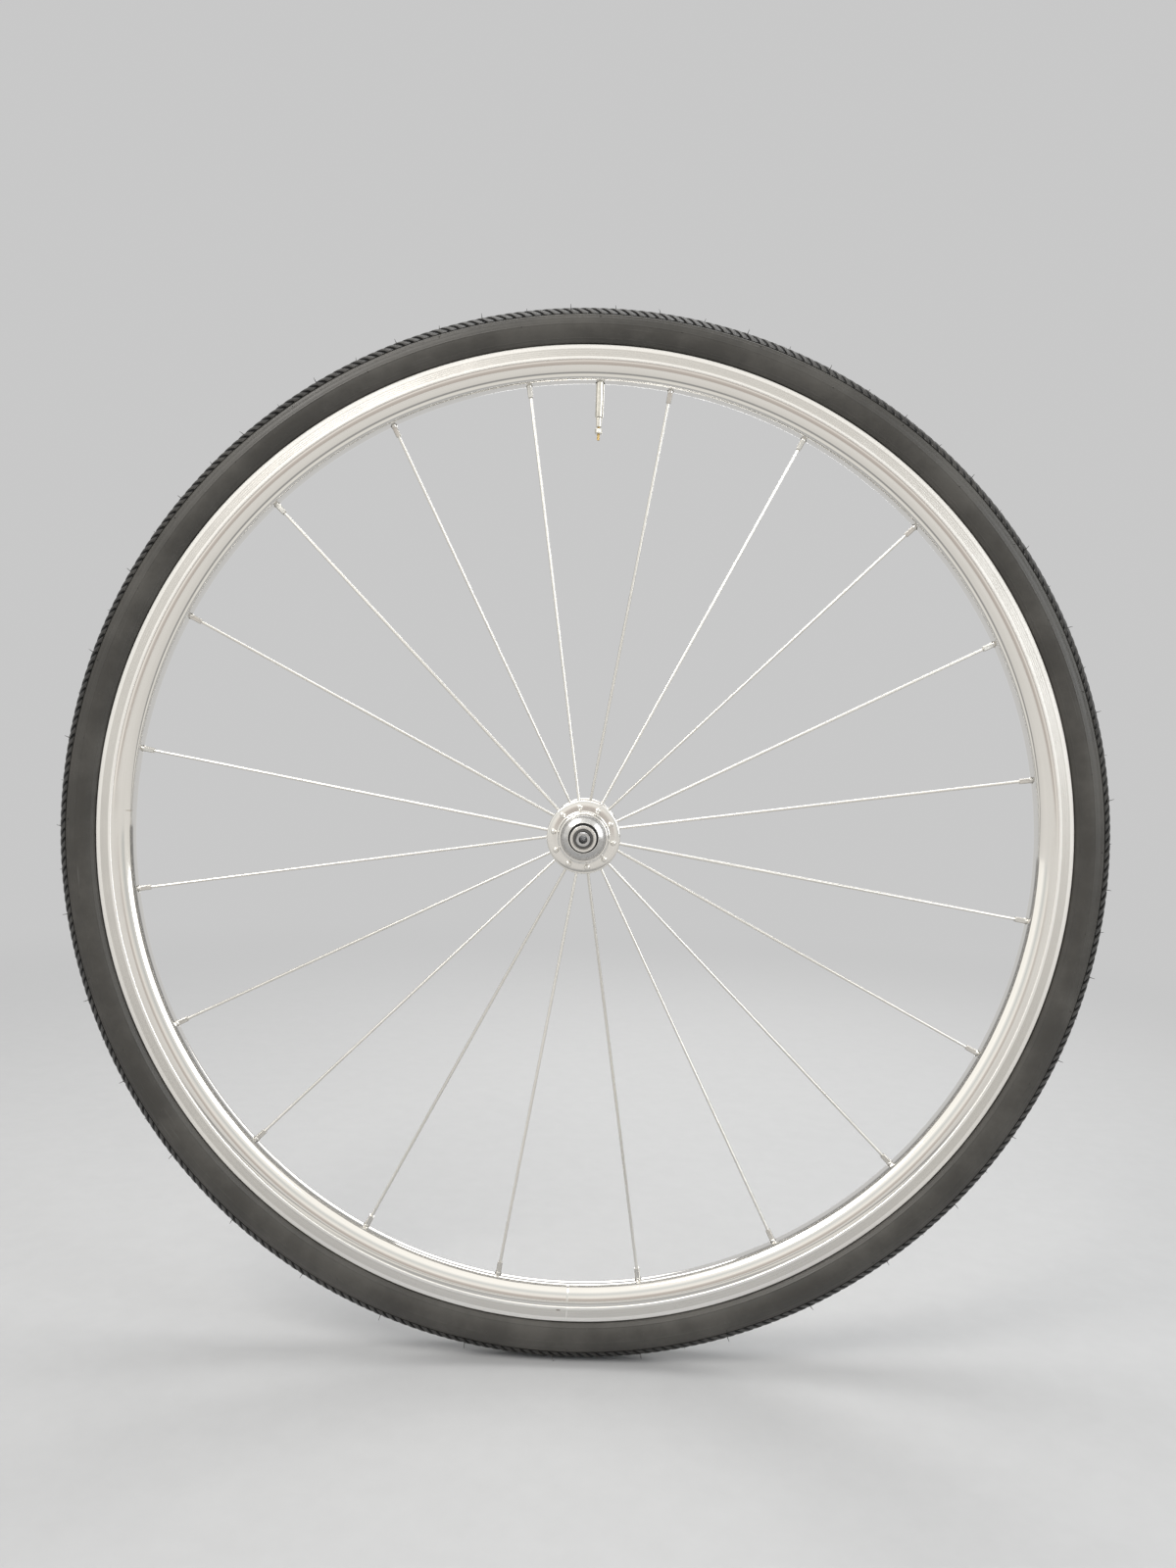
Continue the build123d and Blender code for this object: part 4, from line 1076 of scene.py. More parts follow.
def make_casing():
    """Casing: crown arc under the tread, sidewall arc with a bell-shaped ridge at each ring, bead and
    lining."""
    hook = rim_edge - HOOK_HEIGHT
    bead_seat = rim_edge - FLANGE_HEIGHT
    neck = HOOK_HALF - BEAD_FIT
    foot = rim_edge + FOOT_GAP
    crown_turn = np.linspace(0, CROWN_SHARE * tread_turn, CROWN_ROWS)
    crown = round_about((section_centre, 0), section_radius - TREAD_SINK, crown_turn)
    start = (tread_edge - TREAD_STEP, TREAD_HALF)
    wall = arc(start, (tyre_widest, TYRE_HALF), (foot, rim_half + FOOT_OUT), SIDEWALL_ROWS)
    share = np.linspace(0, 1, SIDEWALL_ROWS)[:, None]
    length = np.hypot(*np.diff(wall, axis=0).T).sum()
    ridge = np.exp(-(((share - RING_PLACES) * length / RING_WIDTH) ** 2)).sum(axis=1, keepdims=True)
    out = wall - (tyre_widest, 0)
    wall = wall + RING_HEIGHT * ridge * out / np.linalg.norm(out, axis=1, keepdims=True)
    bead = (
        (foot, neck),
        (hook - BEAD_FIT, neck),
        (hook - BEAD_FIT - HOOK_DEPTH, CHANNEL_HALF - BEAD_FIT),
        (bead_seat + BEAD_FIT, CHANNEL_HALF - BEAD_FIT),
        (bead_seat + BEAD_FIT, neck - BEAD_NECK),
        (foot + FOOT_OUT, neck - BEAD_NECK),
    )
    lining_radii = (tyre_crown - CROWN_LINING - tyre_widest, TYRE_HALF - LINING)
    lining = round_about((tyre_widest, 0), lining_radii, np.linspace(np.pi / 2, 0, LINING_ROWS))
    surface = turned(both_sides(np.vstack((crown, wall, bead, lining))), CASING_COLUMNS)
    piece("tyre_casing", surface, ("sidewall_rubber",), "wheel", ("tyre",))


def make_tread():
    """Tread strip: a crown arc whose shoulders are cut by slanted sipes. The grid's columns follow the
    sipes: their turn leads by SIPE_LEAN from the edge to the middle. The depth is the profile's share at
    the column's place within its pitch, and it fades out towards the smooth middle and just before the
    edge."""
    shoulder = np.linspace(tread_turn, SIPE_START, SHOULDER_ROWS)
    middle = np.linspace(SIPE_START, 0, MIDDLE_ROWS)[1:]
    half = np.concatenate((shoulder, middle))
    outer_turn = np.concatenate((half, -half[-2::-1]))
    under_turn = np.linspace(-UNDER_SHARE, UNDER_SHARE, UNDER_ROWS) * tread_turn
    place, share = SIPE_PROFILE.T
    column = ((np.arange(SIPES)[:, None] + place) * TURN / SIPES).ravel()
    run_in = np.clip((np.abs(outer_turn) - SIPE_START) / (SIPE_FULL - SIPE_START), 0, 1)
    run_out = np.clip((tread_turn - np.abs(outer_turn)) / SIPE_END, 0, 1)
    outer = section_radius - SIPE_DEPTH * (run_in * run_out)[:, None] * np.tile(share, SIPES)
    under = np.full((UNDER_ROWS, column.size), section_radius - CAP_THICKNESS)
    section = np.concatenate((outer, under))
    lead = SIPE_LEAN * np.concatenate((1 - np.abs(outer_turn) / tread_turn, np.zeros(UNDER_ROWS)))[:, None]
    across = np.concatenate((outer_turn, under_turn))[:, None]
    points = swung(section_centre + section * np.cos(across), section * np.sin(across), column + lead)
    surface = points, cells(len(across), column.size)
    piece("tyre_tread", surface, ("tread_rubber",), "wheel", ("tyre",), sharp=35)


def make_vents():
    """Moulding hairs and stubs: tapered rods that stand on the section's circle and lean a little as they
    rise."""
    share, taper = VENT_PROFILE.T[..., None]
    spin = evenly(VENT_SIDES)
    out = section_radius - VENT_SINK
    rods = []
    rng = np.random.default_rng(VENT_SEED)
    hair = (HAIRS, HAIR_LENGTH, HAIR_RADIUS, HAIR_FIRST, HAIR_TILT)
    rows = [(across, shift, *hair) for across, shift in HAIR_ROWS]
    for across, first in STUB_ROWS:
        stub = (0.0, STUBS, STUB_LENGTH, STUB_RADIUS, first, STUB_TILT)
        rows += [(side * across, *stub) for side in (-1, 1)]
    for across, shift, count, length, radius, first, tilt in rows:
        upward = tilt * across
        wide = radius * taper * np.cos(spin)
        deep = radius * taper * np.sin(spin)
        for turn in first + (np.arange(count) + shift) * TURN / count:
            lean = rng.normal(0, VENT_LEAN, 2)
            if abs(turned_from(turn, FLOOR_ANGLE)) < FLOOR_CLEAR and abs(across) < SHOULDER:
                continue
            rise = share * length * rng.uniform(*VENT_LENGTHS)
            radial = section_centre + out * np.cos(across) + rise * np.cos(upward) - wide * np.sin(upward)
            height = out * np.sin(across) + rise * np.sin(upward) + rise * share * lean[0]
            height = height + wide * np.cos(upward)
            beside = rise * share * lean[1] + deep
            points = swung(radial, height, turn) + swung(beside, 0 * beside, turn + np.pi / 2)
            rods.append((points, cells(len(share), VENT_SIDES, wrap_rows=False)))
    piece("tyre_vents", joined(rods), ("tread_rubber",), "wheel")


# Spokes and nipples


def spoke_angles(side):
    """Angles of one flange's spokes, half a step apart from the other flange's."""
    return VALVE_ANGLE - side * SPOKE_STEP / 4 + SPOKE_STEP * np.arange(SPOKES_PER_SIDE)


def spoke_frame(angle, side):
    """Outward direction of a spoke, the outboard direction and the direction across both."""
    out = np.array((np.cos(angle), 0, np.sin(angle)))
    outboard = np.array((0, side, 0))
    return out, outboard, np.cross(out, outboard)


def spoke_ends():
    """Elbow and nipple seat of a spoke in (out, outboard), and the straight direction from one to the
    other."""
    elbow = np.array((SPOKE_CIRCLE, FLANGE_INNER - ELBOW_ROUND))
    seat = np.array((NIPPLE_SEAT, 0))
    return elbow, seat, (seat - elbow) / np.linalg.norm(seat - elbow)


def spoke_path():
    """Spoke line in (out, outboard): down through the flange, round the elbow's arc and straight to the
    rim, with its radius, which swells to a domed head above the flange."""
    elbow, seat, straight = spoke_ends()
    bend = np.arctan2(straight[0], -straight[1])
    centre = elbow + (ELBOW_ROUND, ELBOW_ROUND * np.tan(bend / 2))
    curve = round_about(centre, -ELBOW_ROUND, np.linspace(0, bend, ELBOW_ROWS))
    dome = np.linspace(0, np.pi / 2, HEAD_ROWS)
    rise = FLANGE_OUTER + np.concatenate((HEAD_HEIGHT * np.cos(dome), (-HEAD_SINK, -HEAD_NECK)))
    head = level(SPOKE_CIRCLE, rise)
    shank = line((SPOKE_CIRCLE, FLANGE_OUTER - SHANK_START), curve[0], SHANK_ROWS)
    end = seat + straight * SPOKE_PAST_SEAT
    run = line(curve[-1], end, SPOKE_ROWS)[1:]
    path = np.vstack((head, shank, curve, run, end, end + straight * SMALL_ROUND))
    radius = np.full(len(path), SPOKE_RADIUS)
    radius[: len(dome)] = HEAD_RADIUS * np.sin(dome) ** HEAD_POWER
    radius[len(dome)] = HEAD_RADIUS
    radius[-1] = 0
    return path, radius


def make_spokes():
    """Each spoke is a tube whose ring at a path point stands across the path's direction."""
    path, radius = spoke_path()
    step = np.diff(path, axis=0)
    step /= np.linalg.norm(step, axis=1, keepdims=True)
    along = np.concatenate((step[:1], step)) + np.concatenate((step, step[-1:]))
    along /= np.linalg.norm(along, axis=1, keepdims=True)
    spin = evenly(SPOKE_COLUMNS)
    wide = radius[:, None] * np.cos(spin)
    deep = radius[:, None] * np.sin(spin)
    out_at = path[:, :1] - along[:, 1:] * wide
    outboard_at = path[:, 1:] + along[:, :1] * wide
    corners = cells(len(path), SPOKE_COLUMNS, wrap_rows=False)
    for name, side in SIDES.items():
        for number, angle in enumerate(spoke_angles(side), start=1):
            out, outboard, beside = spoke_frame(angle, side)
            points = out_at[..., None] * out + outboard_at[..., None] * outboard + deep[..., None] * beside
            surface = points.reshape(-1, 3), corners
            label = f"{name}_{number:02d}"
            nodes = (f"spoke_{label}",)
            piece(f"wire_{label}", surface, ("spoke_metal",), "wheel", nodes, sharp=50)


def make_nipples():
    """Nipple: the smaller of a round and a square radius at each turn, the square growing out at the
    neck."""
    outline = rounded(
        (
            (SPOKE_RADIUS + SPOKE_CLEAR, NIPPLE_TIP, FINE_ROUND),
            (NIPPLE_RADIUS, NIPPLE_TIP, NIPPLE_EDGE),
            (NIPPLE_RADIUS, 0, FINE_ROUND),
            (NIPPLE_HEAD_RADIUS, 0, FINE_ROUND),
            (NIPPLE_HEAD_RADIUS, NIPPLE_HEAD, NIPPLE_DOME),
            (SPOKE_RADIUS + SPOKE_CLEAR, NIPPLE_HEAD, FINE_ROUND),
        )
    )
    neck_heights = np.linspace(NIPPLE_NECK - FINE_ROUND, NIPPLE_NECK + NIPPLE_RUNOUT, NECK_ROWS)
    neck = level(NIPPLE_RADIUS, neck_heights)
    shaft = (outline[:, 0] >= NIPPLE_RADIUS - HAIR_STEP) & (outline[:, 1] < NIPPLE_NECK)
    outline = np.insert(outline, np.flatnonzero(shaft)[-1] + 1, neck, axis=0)
    angle = evenly(NIPPLE_COLUMNS)
    square = NIPPLE_FLAT + np.maximum(outline[:, 1:] - NIPPLE_NECK, 0)
    radius = np.minimum(outline[:, :1], square / np.maximum(np.abs(np.cos(angle)), np.abs(np.sin(angle))))
    wide = (radius * np.cos(angle))[..., None]
    deep = (radius * np.sin(angle))[..., None]
    corners = cells(len(outline), NIPPLE_COLUMNS)
    straight = spoke_ends()[2]
    for name, side in SIDES.items():
        made = []
        for turn in spoke_angles(side):
            out, outboard, beside = spoke_frame(turn, side)
            axis = straight[0] * out + straight[1] * outboard
            spun = wide * beside + deep * np.cross(beside, axis)
            points = NIPPLE_SEAT * out + spun + outline[:, 1:, None] * axis
            made.append((points.reshape(-1, 3), corners))
        nodes = (f"nipples_{name}",)
        surface = joined(made)
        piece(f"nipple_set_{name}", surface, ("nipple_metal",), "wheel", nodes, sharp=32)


# Hub: waisted shell with drilled flanges, dust caps, seals, cones, washers, locknuts and the hollow axle


def hole_rows(outline, first):
    """Rows of a flange face about the spoke circle, SPOKE_HOLE_ROWS each way. The middle row is set on
    the circle."""
    nearest = first + int(np.argmin(np.abs(outline[first : first + FACE_ROWS, 0] - SPOKE_CIRCLE)))
    outline[nearest, 0] = SPOKE_CIRCLE
    return nearest - SPOKE_HOLE_ROWS, nearest + SPOKE_HOLE_ROWS


def hub_parts():
    """Stretches of the hub shell's half outline: barrel, flare, inner flange face, flange edge, outer
    flange face, which dips as the square of the way out, fillet, and boss with its seats and bore."""
    cap_seat = boss_end - CAP_SEAT_DEPTH
    cup_seat = cap_seat - CUP_SEAT_DEPTH
    middle = (FLANGE_INNER + FLANGE_OUTER - FLANGE_DISH) / 2
    edge = flange_rim - FLANGE_EDGE
    waist = (BARREL_RADIUS + FLARE_RISE, FLARE_PLACE)
    flare = arc((BARREL_RADIUS, BARREL_HALF), waist, (FLANGE_ROOT, FLANGE_INNER), FLARE_ROWS)
    flange_edge = arc(
        (edge, FLANGE_INNER), (flange_rim, middle), (edge, FLANGE_OUTER - FLANGE_DISH), FLANGE_EDGE_ROWS
    )
    outer_face = line((edge, FLANGE_OUTER), (BOSS_RADIUS + BOSS_FILLET, FLANGE_OUTER), FACE_ROWS)
    way_out = (outer_face[:, 0] - outer_face[-1, 0]) / (edge - outer_face[-1, 0])
    outer_face[:, 1] -= FLANGE_DISH * way_out**2
    fillet_centre = (BOSS_RADIUS + BOSS_FILLET, FLANGE_OUTER + BOSS_FILLET)
    fillet = round_about(fillet_centre, -BOSS_FILLET, np.linspace(np.pi / 2, 0, FILLET_ROWS))
    boss = (
        (BOSS_RADIUS, FLANGE_OUTER + BOSS_START),
        (BOSS_RADIUS, boss_end - BOSS_STOP),
        (BOSS_RADIUS, boss_end - BOSS_CHAMFER - SMALL_ROUND),
        (BOSS_RADIUS - SMALL_ROUND / 2, boss_end - BOSS_CHAMFER + SMALL_ROUND / 2),
        (BOSS_RADIUS - BOSS_CHAMFER + SMALL_ROUND / 2, boss_end - SMALL_ROUND / 2),
        (BOSS_RADIUS - BOSS_CHAMFER - SMALL_ROUND, boss_end),
        (cap_rim + BOSS_MOUTH, boss_end),
        (cap_rim + FIT, boss_end - BOSS_MOUTH),
        (cap_rim + FIT, cap_seat),
        (CUP_RADIUS + FIT, cap_seat),
        (CUP_RADIUS + FIT, cup_seat),
        (HUB_BORE, cup_seat),
        (HUB_BORE, 0),
    )
    barrel = line((BARREL_RADIUS, 0), (BARREL_RADIUS, BARREL_HALF), BARREL_ROWS)
    inner_face = line((FLANGE_ROOT, FLANGE_INNER), (edge, FLANGE_INNER), FACE_ROWS)
    return barrel, flare[:-1], inner_face, flange_edge[:-1], outer_face, fillet, boss


def make_hub():
    """Hub shell: its outline swung round the axle, with a hole for each spoke, drilled from both flange
    faces."""
    parts = hub_parts()
    outline = both_sides(np.vstack(parts))
    starts = np.cumsum([0] + [len(part) for part in parts])
    inner_first, outer_first = starts[2], starts[4]
    bands = []
    rows = len(outline)
    depth = SPOKE_HOLE_SHARE * (FLANGE_OUTER - FLANGE_INNER)
    for side in (1, -1):
        columns = column_at(spoke_angles(side), HUB_COLUMNS)
        for first, into in ((inner_first, 1), (outer_first, -1)):
            low, high = hole_rows(outline, first)
            if side < 0:
                low, high = rows - high, rows - low
            bands.append((low, high, columns, SPOKE_HOLE_COLUMNS, SPOKE_HOLE, depth, (0, into * side)))
    points, corners, _, in_hole = pierced(outline, evenly(HUB_COLUMNS), bands)
    # Cells in a spoke hole take painted shade
    finishes = ("hub_polish", "hole_painted_shade")
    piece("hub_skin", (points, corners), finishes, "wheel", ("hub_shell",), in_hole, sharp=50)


def dust_cap():
    """Dust cap's outline: a rim, a conical face with two fine turned rings, a lip round the hole and a
    thin wall."""
    cap_seat = boss_end - CAP_SEAT_DEPTH
    slope_start = np.array((cap_rim - CAP_RIM, boss_end + CAP_RIM / 2))
    slope_end = np.array((CAP_HOLE + CAP_LIP, cap_face - CAP_LIP))
    rings = []
    for place in CAP_RING_PLACES:
        at = slope_start + (slope_end - slope_start) * place
        rings += [at + CAP_RING_HALF, at - (0, CAP_RING_DEPTH), at - CAP_RING_HALF]
    return rounded(
        (
            (cap_rim, cap_seat, FINE_ROUND),
            (cap_rim, boss_end + CAP_RIM / 2, FINE_ROUND),
            (cap_rim - CAP_RIM / 2, boss_end + CAP_RIM, FINE_ROUND),
            (cap_rim - CAP_RIM, boss_end + CAP_RIM, FINE_ROUND),
            *((*at, FINE_ROUND) for at in (slope_start, *rings, slope_end)),
            (CAP_HOLE + CAP_LIP, cap_face, CAP_LIP_ROUND),
            (CAP_HOLE, cap_face, CAP_LIP_ROUND),
            (CAP_HOLE, cap_face - CAP_LIP - CAP_WALL, FINE_ROUND),
            (cap_rim - CAP_WALL, boss_end - CAP_WALL, FINE_ROUND),
            (cap_rim - CAP_WALL, cap_seat, FINE_ROUND),
        )
    )


def lip_seal():
    """Lip seal's outline: a ring on the cone's neck with a sloped inner face."""
    return rounded(
        (
            (CONE_NECK + FIT, seal_inner_end),
            (CONE_NECK + FIT, seal_outer_end),
            (seal_rim, seal_outer_end),
            (seal_rim, seal_outer_end - SEAL_LIP),
            (CONE_NECK + SEAL_LIP, seal_inner_end),
        )
    )


def bearing_cone():
    """Bearing cone's outline: nose, race, shoulder and neck."""
    return rounded(
        (
            (AXLE_HOLE, cone_nose),
            (CONE_NOSE_RADIUS, cone_nose),
            (CONE_NOSE_RADIUS + CONE_NOSE_RISE, cone_nose + CONE_NOSE_LENGTH),
            (CONE_NECK, cone_nose + CONE_RACE_LENGTH),
            (cone_rim, CONE_SHOULDER_END - CONE_SHOULDER_LENGTH),
            (cone_rim, CONE_SHOULDER_END - CONE_SHOULDER_SLOPE),
            (CONE_NECK, CONE_SHOULDER_END),
            (CONE_NECK, cone_end),
            (AXLE_HOLE, cone_end),
        )
    )


def lock_washer():
    """Lock washer's outline: a flat ring between the cone and the locknut."""
    return rounded(
        (
            (AXLE_HOLE, cone_end),
            (washer_rim, cone_end),
            (washer_rim, locknut_seat),
            (AXLE_HOLE, locknut_seat),
        )
    )


def locknut():
    """Locknut's outline: flats up to a round collar, and a recess in the face."""
    recess = locknut_face - LOCKNUT_RECESS_DEPTH
    collar = locknut_face - LOCKNUT_COLLAR
    return rounded(
        (
            (AXLE_HOLE, locknut_seat, FINE_ROUND),
            (locknut_rim, locknut_seat, LOCKNUT_SEAT_ROUND),
            (locknut_rim, collar, LOCKNUT_STEP_ROUND),
            (locknut_rim + HAIR_STEP, collar + LOCKNUT_COLLAR_STEP, LOCKNUT_STEP_ROUND),
            (locknut_rim, locknut_face, LOCKNUT_FACE_ROUND),
            (LOCKNUT_RECESS, locknut_face, LOCKNUT_RECESS_ROUND),
            (LOCKNUT_RECESS, recess, FINE_ROUND),
            (AXLE_HOLE, recess, FINE_ROUND),
        )
    )


def cone_keyed(radius, height):
    """Where a spanner holds the bearing cone."""
    return (np.abs(height) > cone_end - CONE_FLAT_LENGTH) & (radius > AXLE_HOLE + FINE_ROUND)


def locknut_keyed(radius, height):
    """Where a spanner holds the locknut."""
    return (np.abs(height) < locknut_face - LOCKNUT_COLLAR) & (radius > LOCKNUT_RECESS)


def make_hub_ends():
    """Turned pieces of each hub end. Cells within a piece's inner radius take its second finish."""
    cone_flats = flats(CONE_FLAT, np.sin, cone_keyed)
    locknut_flats = flats(LOCKNUT_FLAT, np.sin, locknut_keyed)
    # Cells inside the locknut's recess take painted shade, a dark metal
    recess_shade_limit = LOCKNUT_RECESS - FINE_ROUND
    nut_and_recess_shade = ("nut_metal", "recess_painted_shade")
    rows = (
        ("dust_cap", dust_cap(), None, ("cap_metal", "nut_metal"), CAP_LIP_LIMIT, "wheel", "cap_steel"),
        ("lip_seal", lip_seal(), None, ("seal_rubber",), 0, "axle_set", "seal_rubber"),
        ("bearing_cone", bearing_cone(), cone_flats, ("bearing_metal",), 0, "axle_set", "bearing_steel"),
        ("lock_washer", lock_washer(), None, ("axle_metal",), 0, "axle_set", "axle_steel"),
        ("locknut", locknut(), locknut_flats, nut_and_recess_shade, recess_shade_limit, "axle_set", "axle_steel"),
    )
    for name, side in SIDES.items():
        for label, outline, carve, finishes, inner, body, slot in rows:
            points, corners = turned(outline * (1, side), END_COLUMNS, carve)
            zones = np.hypot(points[:, 0], points[:, 2])[corners].max(axis=1) < inner
            nodes = (f"{label}_{name}",)
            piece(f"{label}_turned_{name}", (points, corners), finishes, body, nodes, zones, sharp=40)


def axle_thread(radius, height, angle):
    """Fine thread on the axle's tips: a triangle wave of the length along it and the turn round it."""
    on = (np.abs(height) > locknut_face - THREAD_SINK) & (radius > AXLE_TIP - FINE_ROUND)
    wave = np.abs((height / THREAD_PITCH - angle / TURN) % 1 - 0.5) * 2
    return np.where(on, radius - THREAD_DEPTH * wave, radius)


def make_axle():
    """Hollow axle: a thick middle, threaded tips with a chamfer, and a bore."""
    thread = np.arange(locknut_face - THREAD_SINK, axle_end - AXLE_CHAMFER, THREAD_PITCH / THREAD_ROWS)
    middle = level(axle_rim, (0, locknut_face - AXLE_STEP_SINK))
    tip = (
        (AXLE_TIP, axle_end - AXLE_CHAMFER),
        (AXLE_TIP - AXLE_CHAMFER, axle_end),
        (AXLE_TIP - AXLE_CHAMFER - FINE_ROUND, axle_end),
        (AXLE_BORE + FINE_ROUND, axle_end),
    )
    bore = level(AXLE_BORE, (axle_end - FINE_ROUND, axle_end - AXLE_BORE_ROW, 0))
    half = np.vstack((middle, level(AXLE_TIP, thread), tip, bore))
    surface = turned(both_sides(half), END_COLUMNS, axle_thread)
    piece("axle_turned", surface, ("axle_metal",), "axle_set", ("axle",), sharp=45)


# Valve: smooth stem, flatted core, knurled nut and threaded pin, all turned about the upright


def stem():
    """Valve stem's outline: a smooth tube with a chamfered end and a foot in the tube."""
    corners = (
        (STEM_BORE, stem_end),
        (STEM_RADIUS - STEM_CHAMFER, stem_end),
        (STEM_RADIUS, stem_end + STEM_CHAMFER),
        (STEM_RADIUS, stem_top - FOOT_HEIGHT),
        (FOOT_RADIUS, stem_top - FOOT_HEIGHT),
        (FOOT_RADIUS, stem_top),
        (STEM_BORE, stem_top),
    )
    return rounded(corners, STEM_ROUND)


def core():
    """Valve core's outline: a chamfered head outside the stem and a barrel inside it."""
    corners = (
        (CORE_BORE, core_end),
        (core_half - CORE_CHAMFER, core_end),
        (core_half, core_end + CORE_CHAMFER),
        (core_half, stem_end - CORE_SHOULDER),
        (CORE_BARREL, stem_end - CORE_SEAT),
        (CORE_BARREL, core_top),
        (CORE_BORE, core_top),
    )
    return rounded(corners, FINE_ROUND)


def thumb_nut():
    """Valve nut's outline: a drum with chamfered ends."""
    drum = level(nut_rim, np.linspace(nut_bottom + NUT_CHAMFER, nut_top - NUT_CHAMFER, NUT_ROWS))
    bottom = ((NUT_BORE, nut_bottom), (nut_rim - NUT_CHAMFER, nut_bottom))
    top = ((nut_rim - NUT_CHAMFER, nut_top), (NUT_BORE, nut_top))
    return np.vstack((bottom, drum, top))


def pin():
    """Valve pin's outline: a chamfered tip, a threaded stretch outside the core and a plug at the inner
    end."""
    tip = (
        (0, pin_tip),
        (PIN_RADIUS - PIN_END_CUT, pin_tip),
        (PIN_RADIUS - PIN_EDGE_CUT, pin_tip + PIN_EDGE_HEIGHT),
    )
    thread = level(PIN_RADIUS, np.arange(pin_tip + PIN_THREAD_START, core_end, PIN_PITCH / THREAD_ROWS))
    plug = (
        (PIN_RADIUS, core_end + PIN_EDGE_HEIGHT),
        (PIN_RADIUS, pin_top - PLUG_HEIGHT),
        (plug_rim, pin_top - PLUG_HEIGHT),
        (plug_rim, pin_top),
        (0, pin_top),
    )
    return np.vstack((tip, thread, plug))


def core_keyed(radius, height):
    """Where a key holds the valve core."""
    return (height < stem_end - CORE_FLAT_GAP) & (radius > CORE_BORE + CORE_WALL)


def knurl(radius, height, angle):
    """Knurl on the nut's drum: two crossed cosine threads."""
    on = radius > nut_rim - WELD
    rise = 2 * TURN * (height - nut_bottom) / KNURL_RISE
    crossed = np.cos(KNURLS * angle + rise) + np.cos(KNURLS * angle - rise)
    return np.where(on, radius - KNURL_DEPTH * (0.5 - 0.25 * crossed), radius)


def pin_thread(radius, height, angle):
    """Thread on the pin: a cosine of the length along it and the turn round it."""
    on = (height >= pin_tip + PIN_THREAD_START) & (height < core_end) & (radius > PIN_RADIUS / 2)
    wave = 0.5 + 0.5 * np.cos(TURN * height / PIN_PITCH - angle)
    return np.where(on, radius - PIN_THREAD_DEPTH * wave, radius)


def make_valve():
    """Four turned pieces, on the bodies of the wheel, the valve nut and the valve pin."""
    core_flats = flats(core_flat, np.cos, core_keyed)
    plated = ("valve_metal", "valve_plate")
    brass = ("pin_brass", "valve_brass")
    rows = (
        ("valve_tube", stem(), 64, plated, "wheel", "valve_stem", None, 40),
        ("valve_insert", core(), 96, plated, "wheel", "valve_core", core_flats, 30),
        ("valve_thumb_nut", thumb_nut(), 156, plated, "valve_nut", "valve_nut", knurl, 60),
        ("valve_rod", pin(), 32, brass, "valve_pin", "valve_pin", pin_thread, 60),
    )
    for name, outline, count, (finish, slot), body, node, carve, sharp in rows:
        surface = turned(outline, count, carve, upright=True)
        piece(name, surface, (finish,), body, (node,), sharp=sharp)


def dress_inner_pieces():
    """Finishes of the pieces that stay as modelled, inside the tyre, the rim and the hub."""
    inner = {"inner_tube": "tube_rubber", "rim_tape": "tape_rubber", "rim_joint_sleeve": "rim_polish"}
    for side in SIDES:
        inner[f"bearing_cup_{side}"] = "bearing_metal"
        inner[f"bearing_balls_{side}"] = "nut_metal"
        inner[f"ball_cage_{side}"] = "bearing_metal"
    for node, look in inner.items():
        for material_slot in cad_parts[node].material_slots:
            material_slot.material = looks[look]


# Studio


def seen(graph):
    """One for camera, glossy and transmission rays, which all see the pale background."""
    rays = graph.add("LightPath").outputs
    mirrored = graph.math("MAXIMUM", rays["Is Glossy Ray"], rays["Is Transmission Ray"])
    return graph.math("MAXIMUM", rays["Is Camera Ray"], mirrored)


def ramp(graph, value, bands):
    """Colour that runs through the given (place, colour) stops as the value grows."""
    low, high = bands[0][0], bands[-1][0]
    blend = graph.add("ValToRGB", {"Fac": graph.spread(value, (low, high))})
    stops = blend.color_ramp.elements
    for place, _ in bands[1:-1]:
        stops.new((place - low) / (high - low))
    for stop, (_, colour) in zip(stops, bands):
        stop.color = (*colour, 1)
    return blend.outputs["Color"]


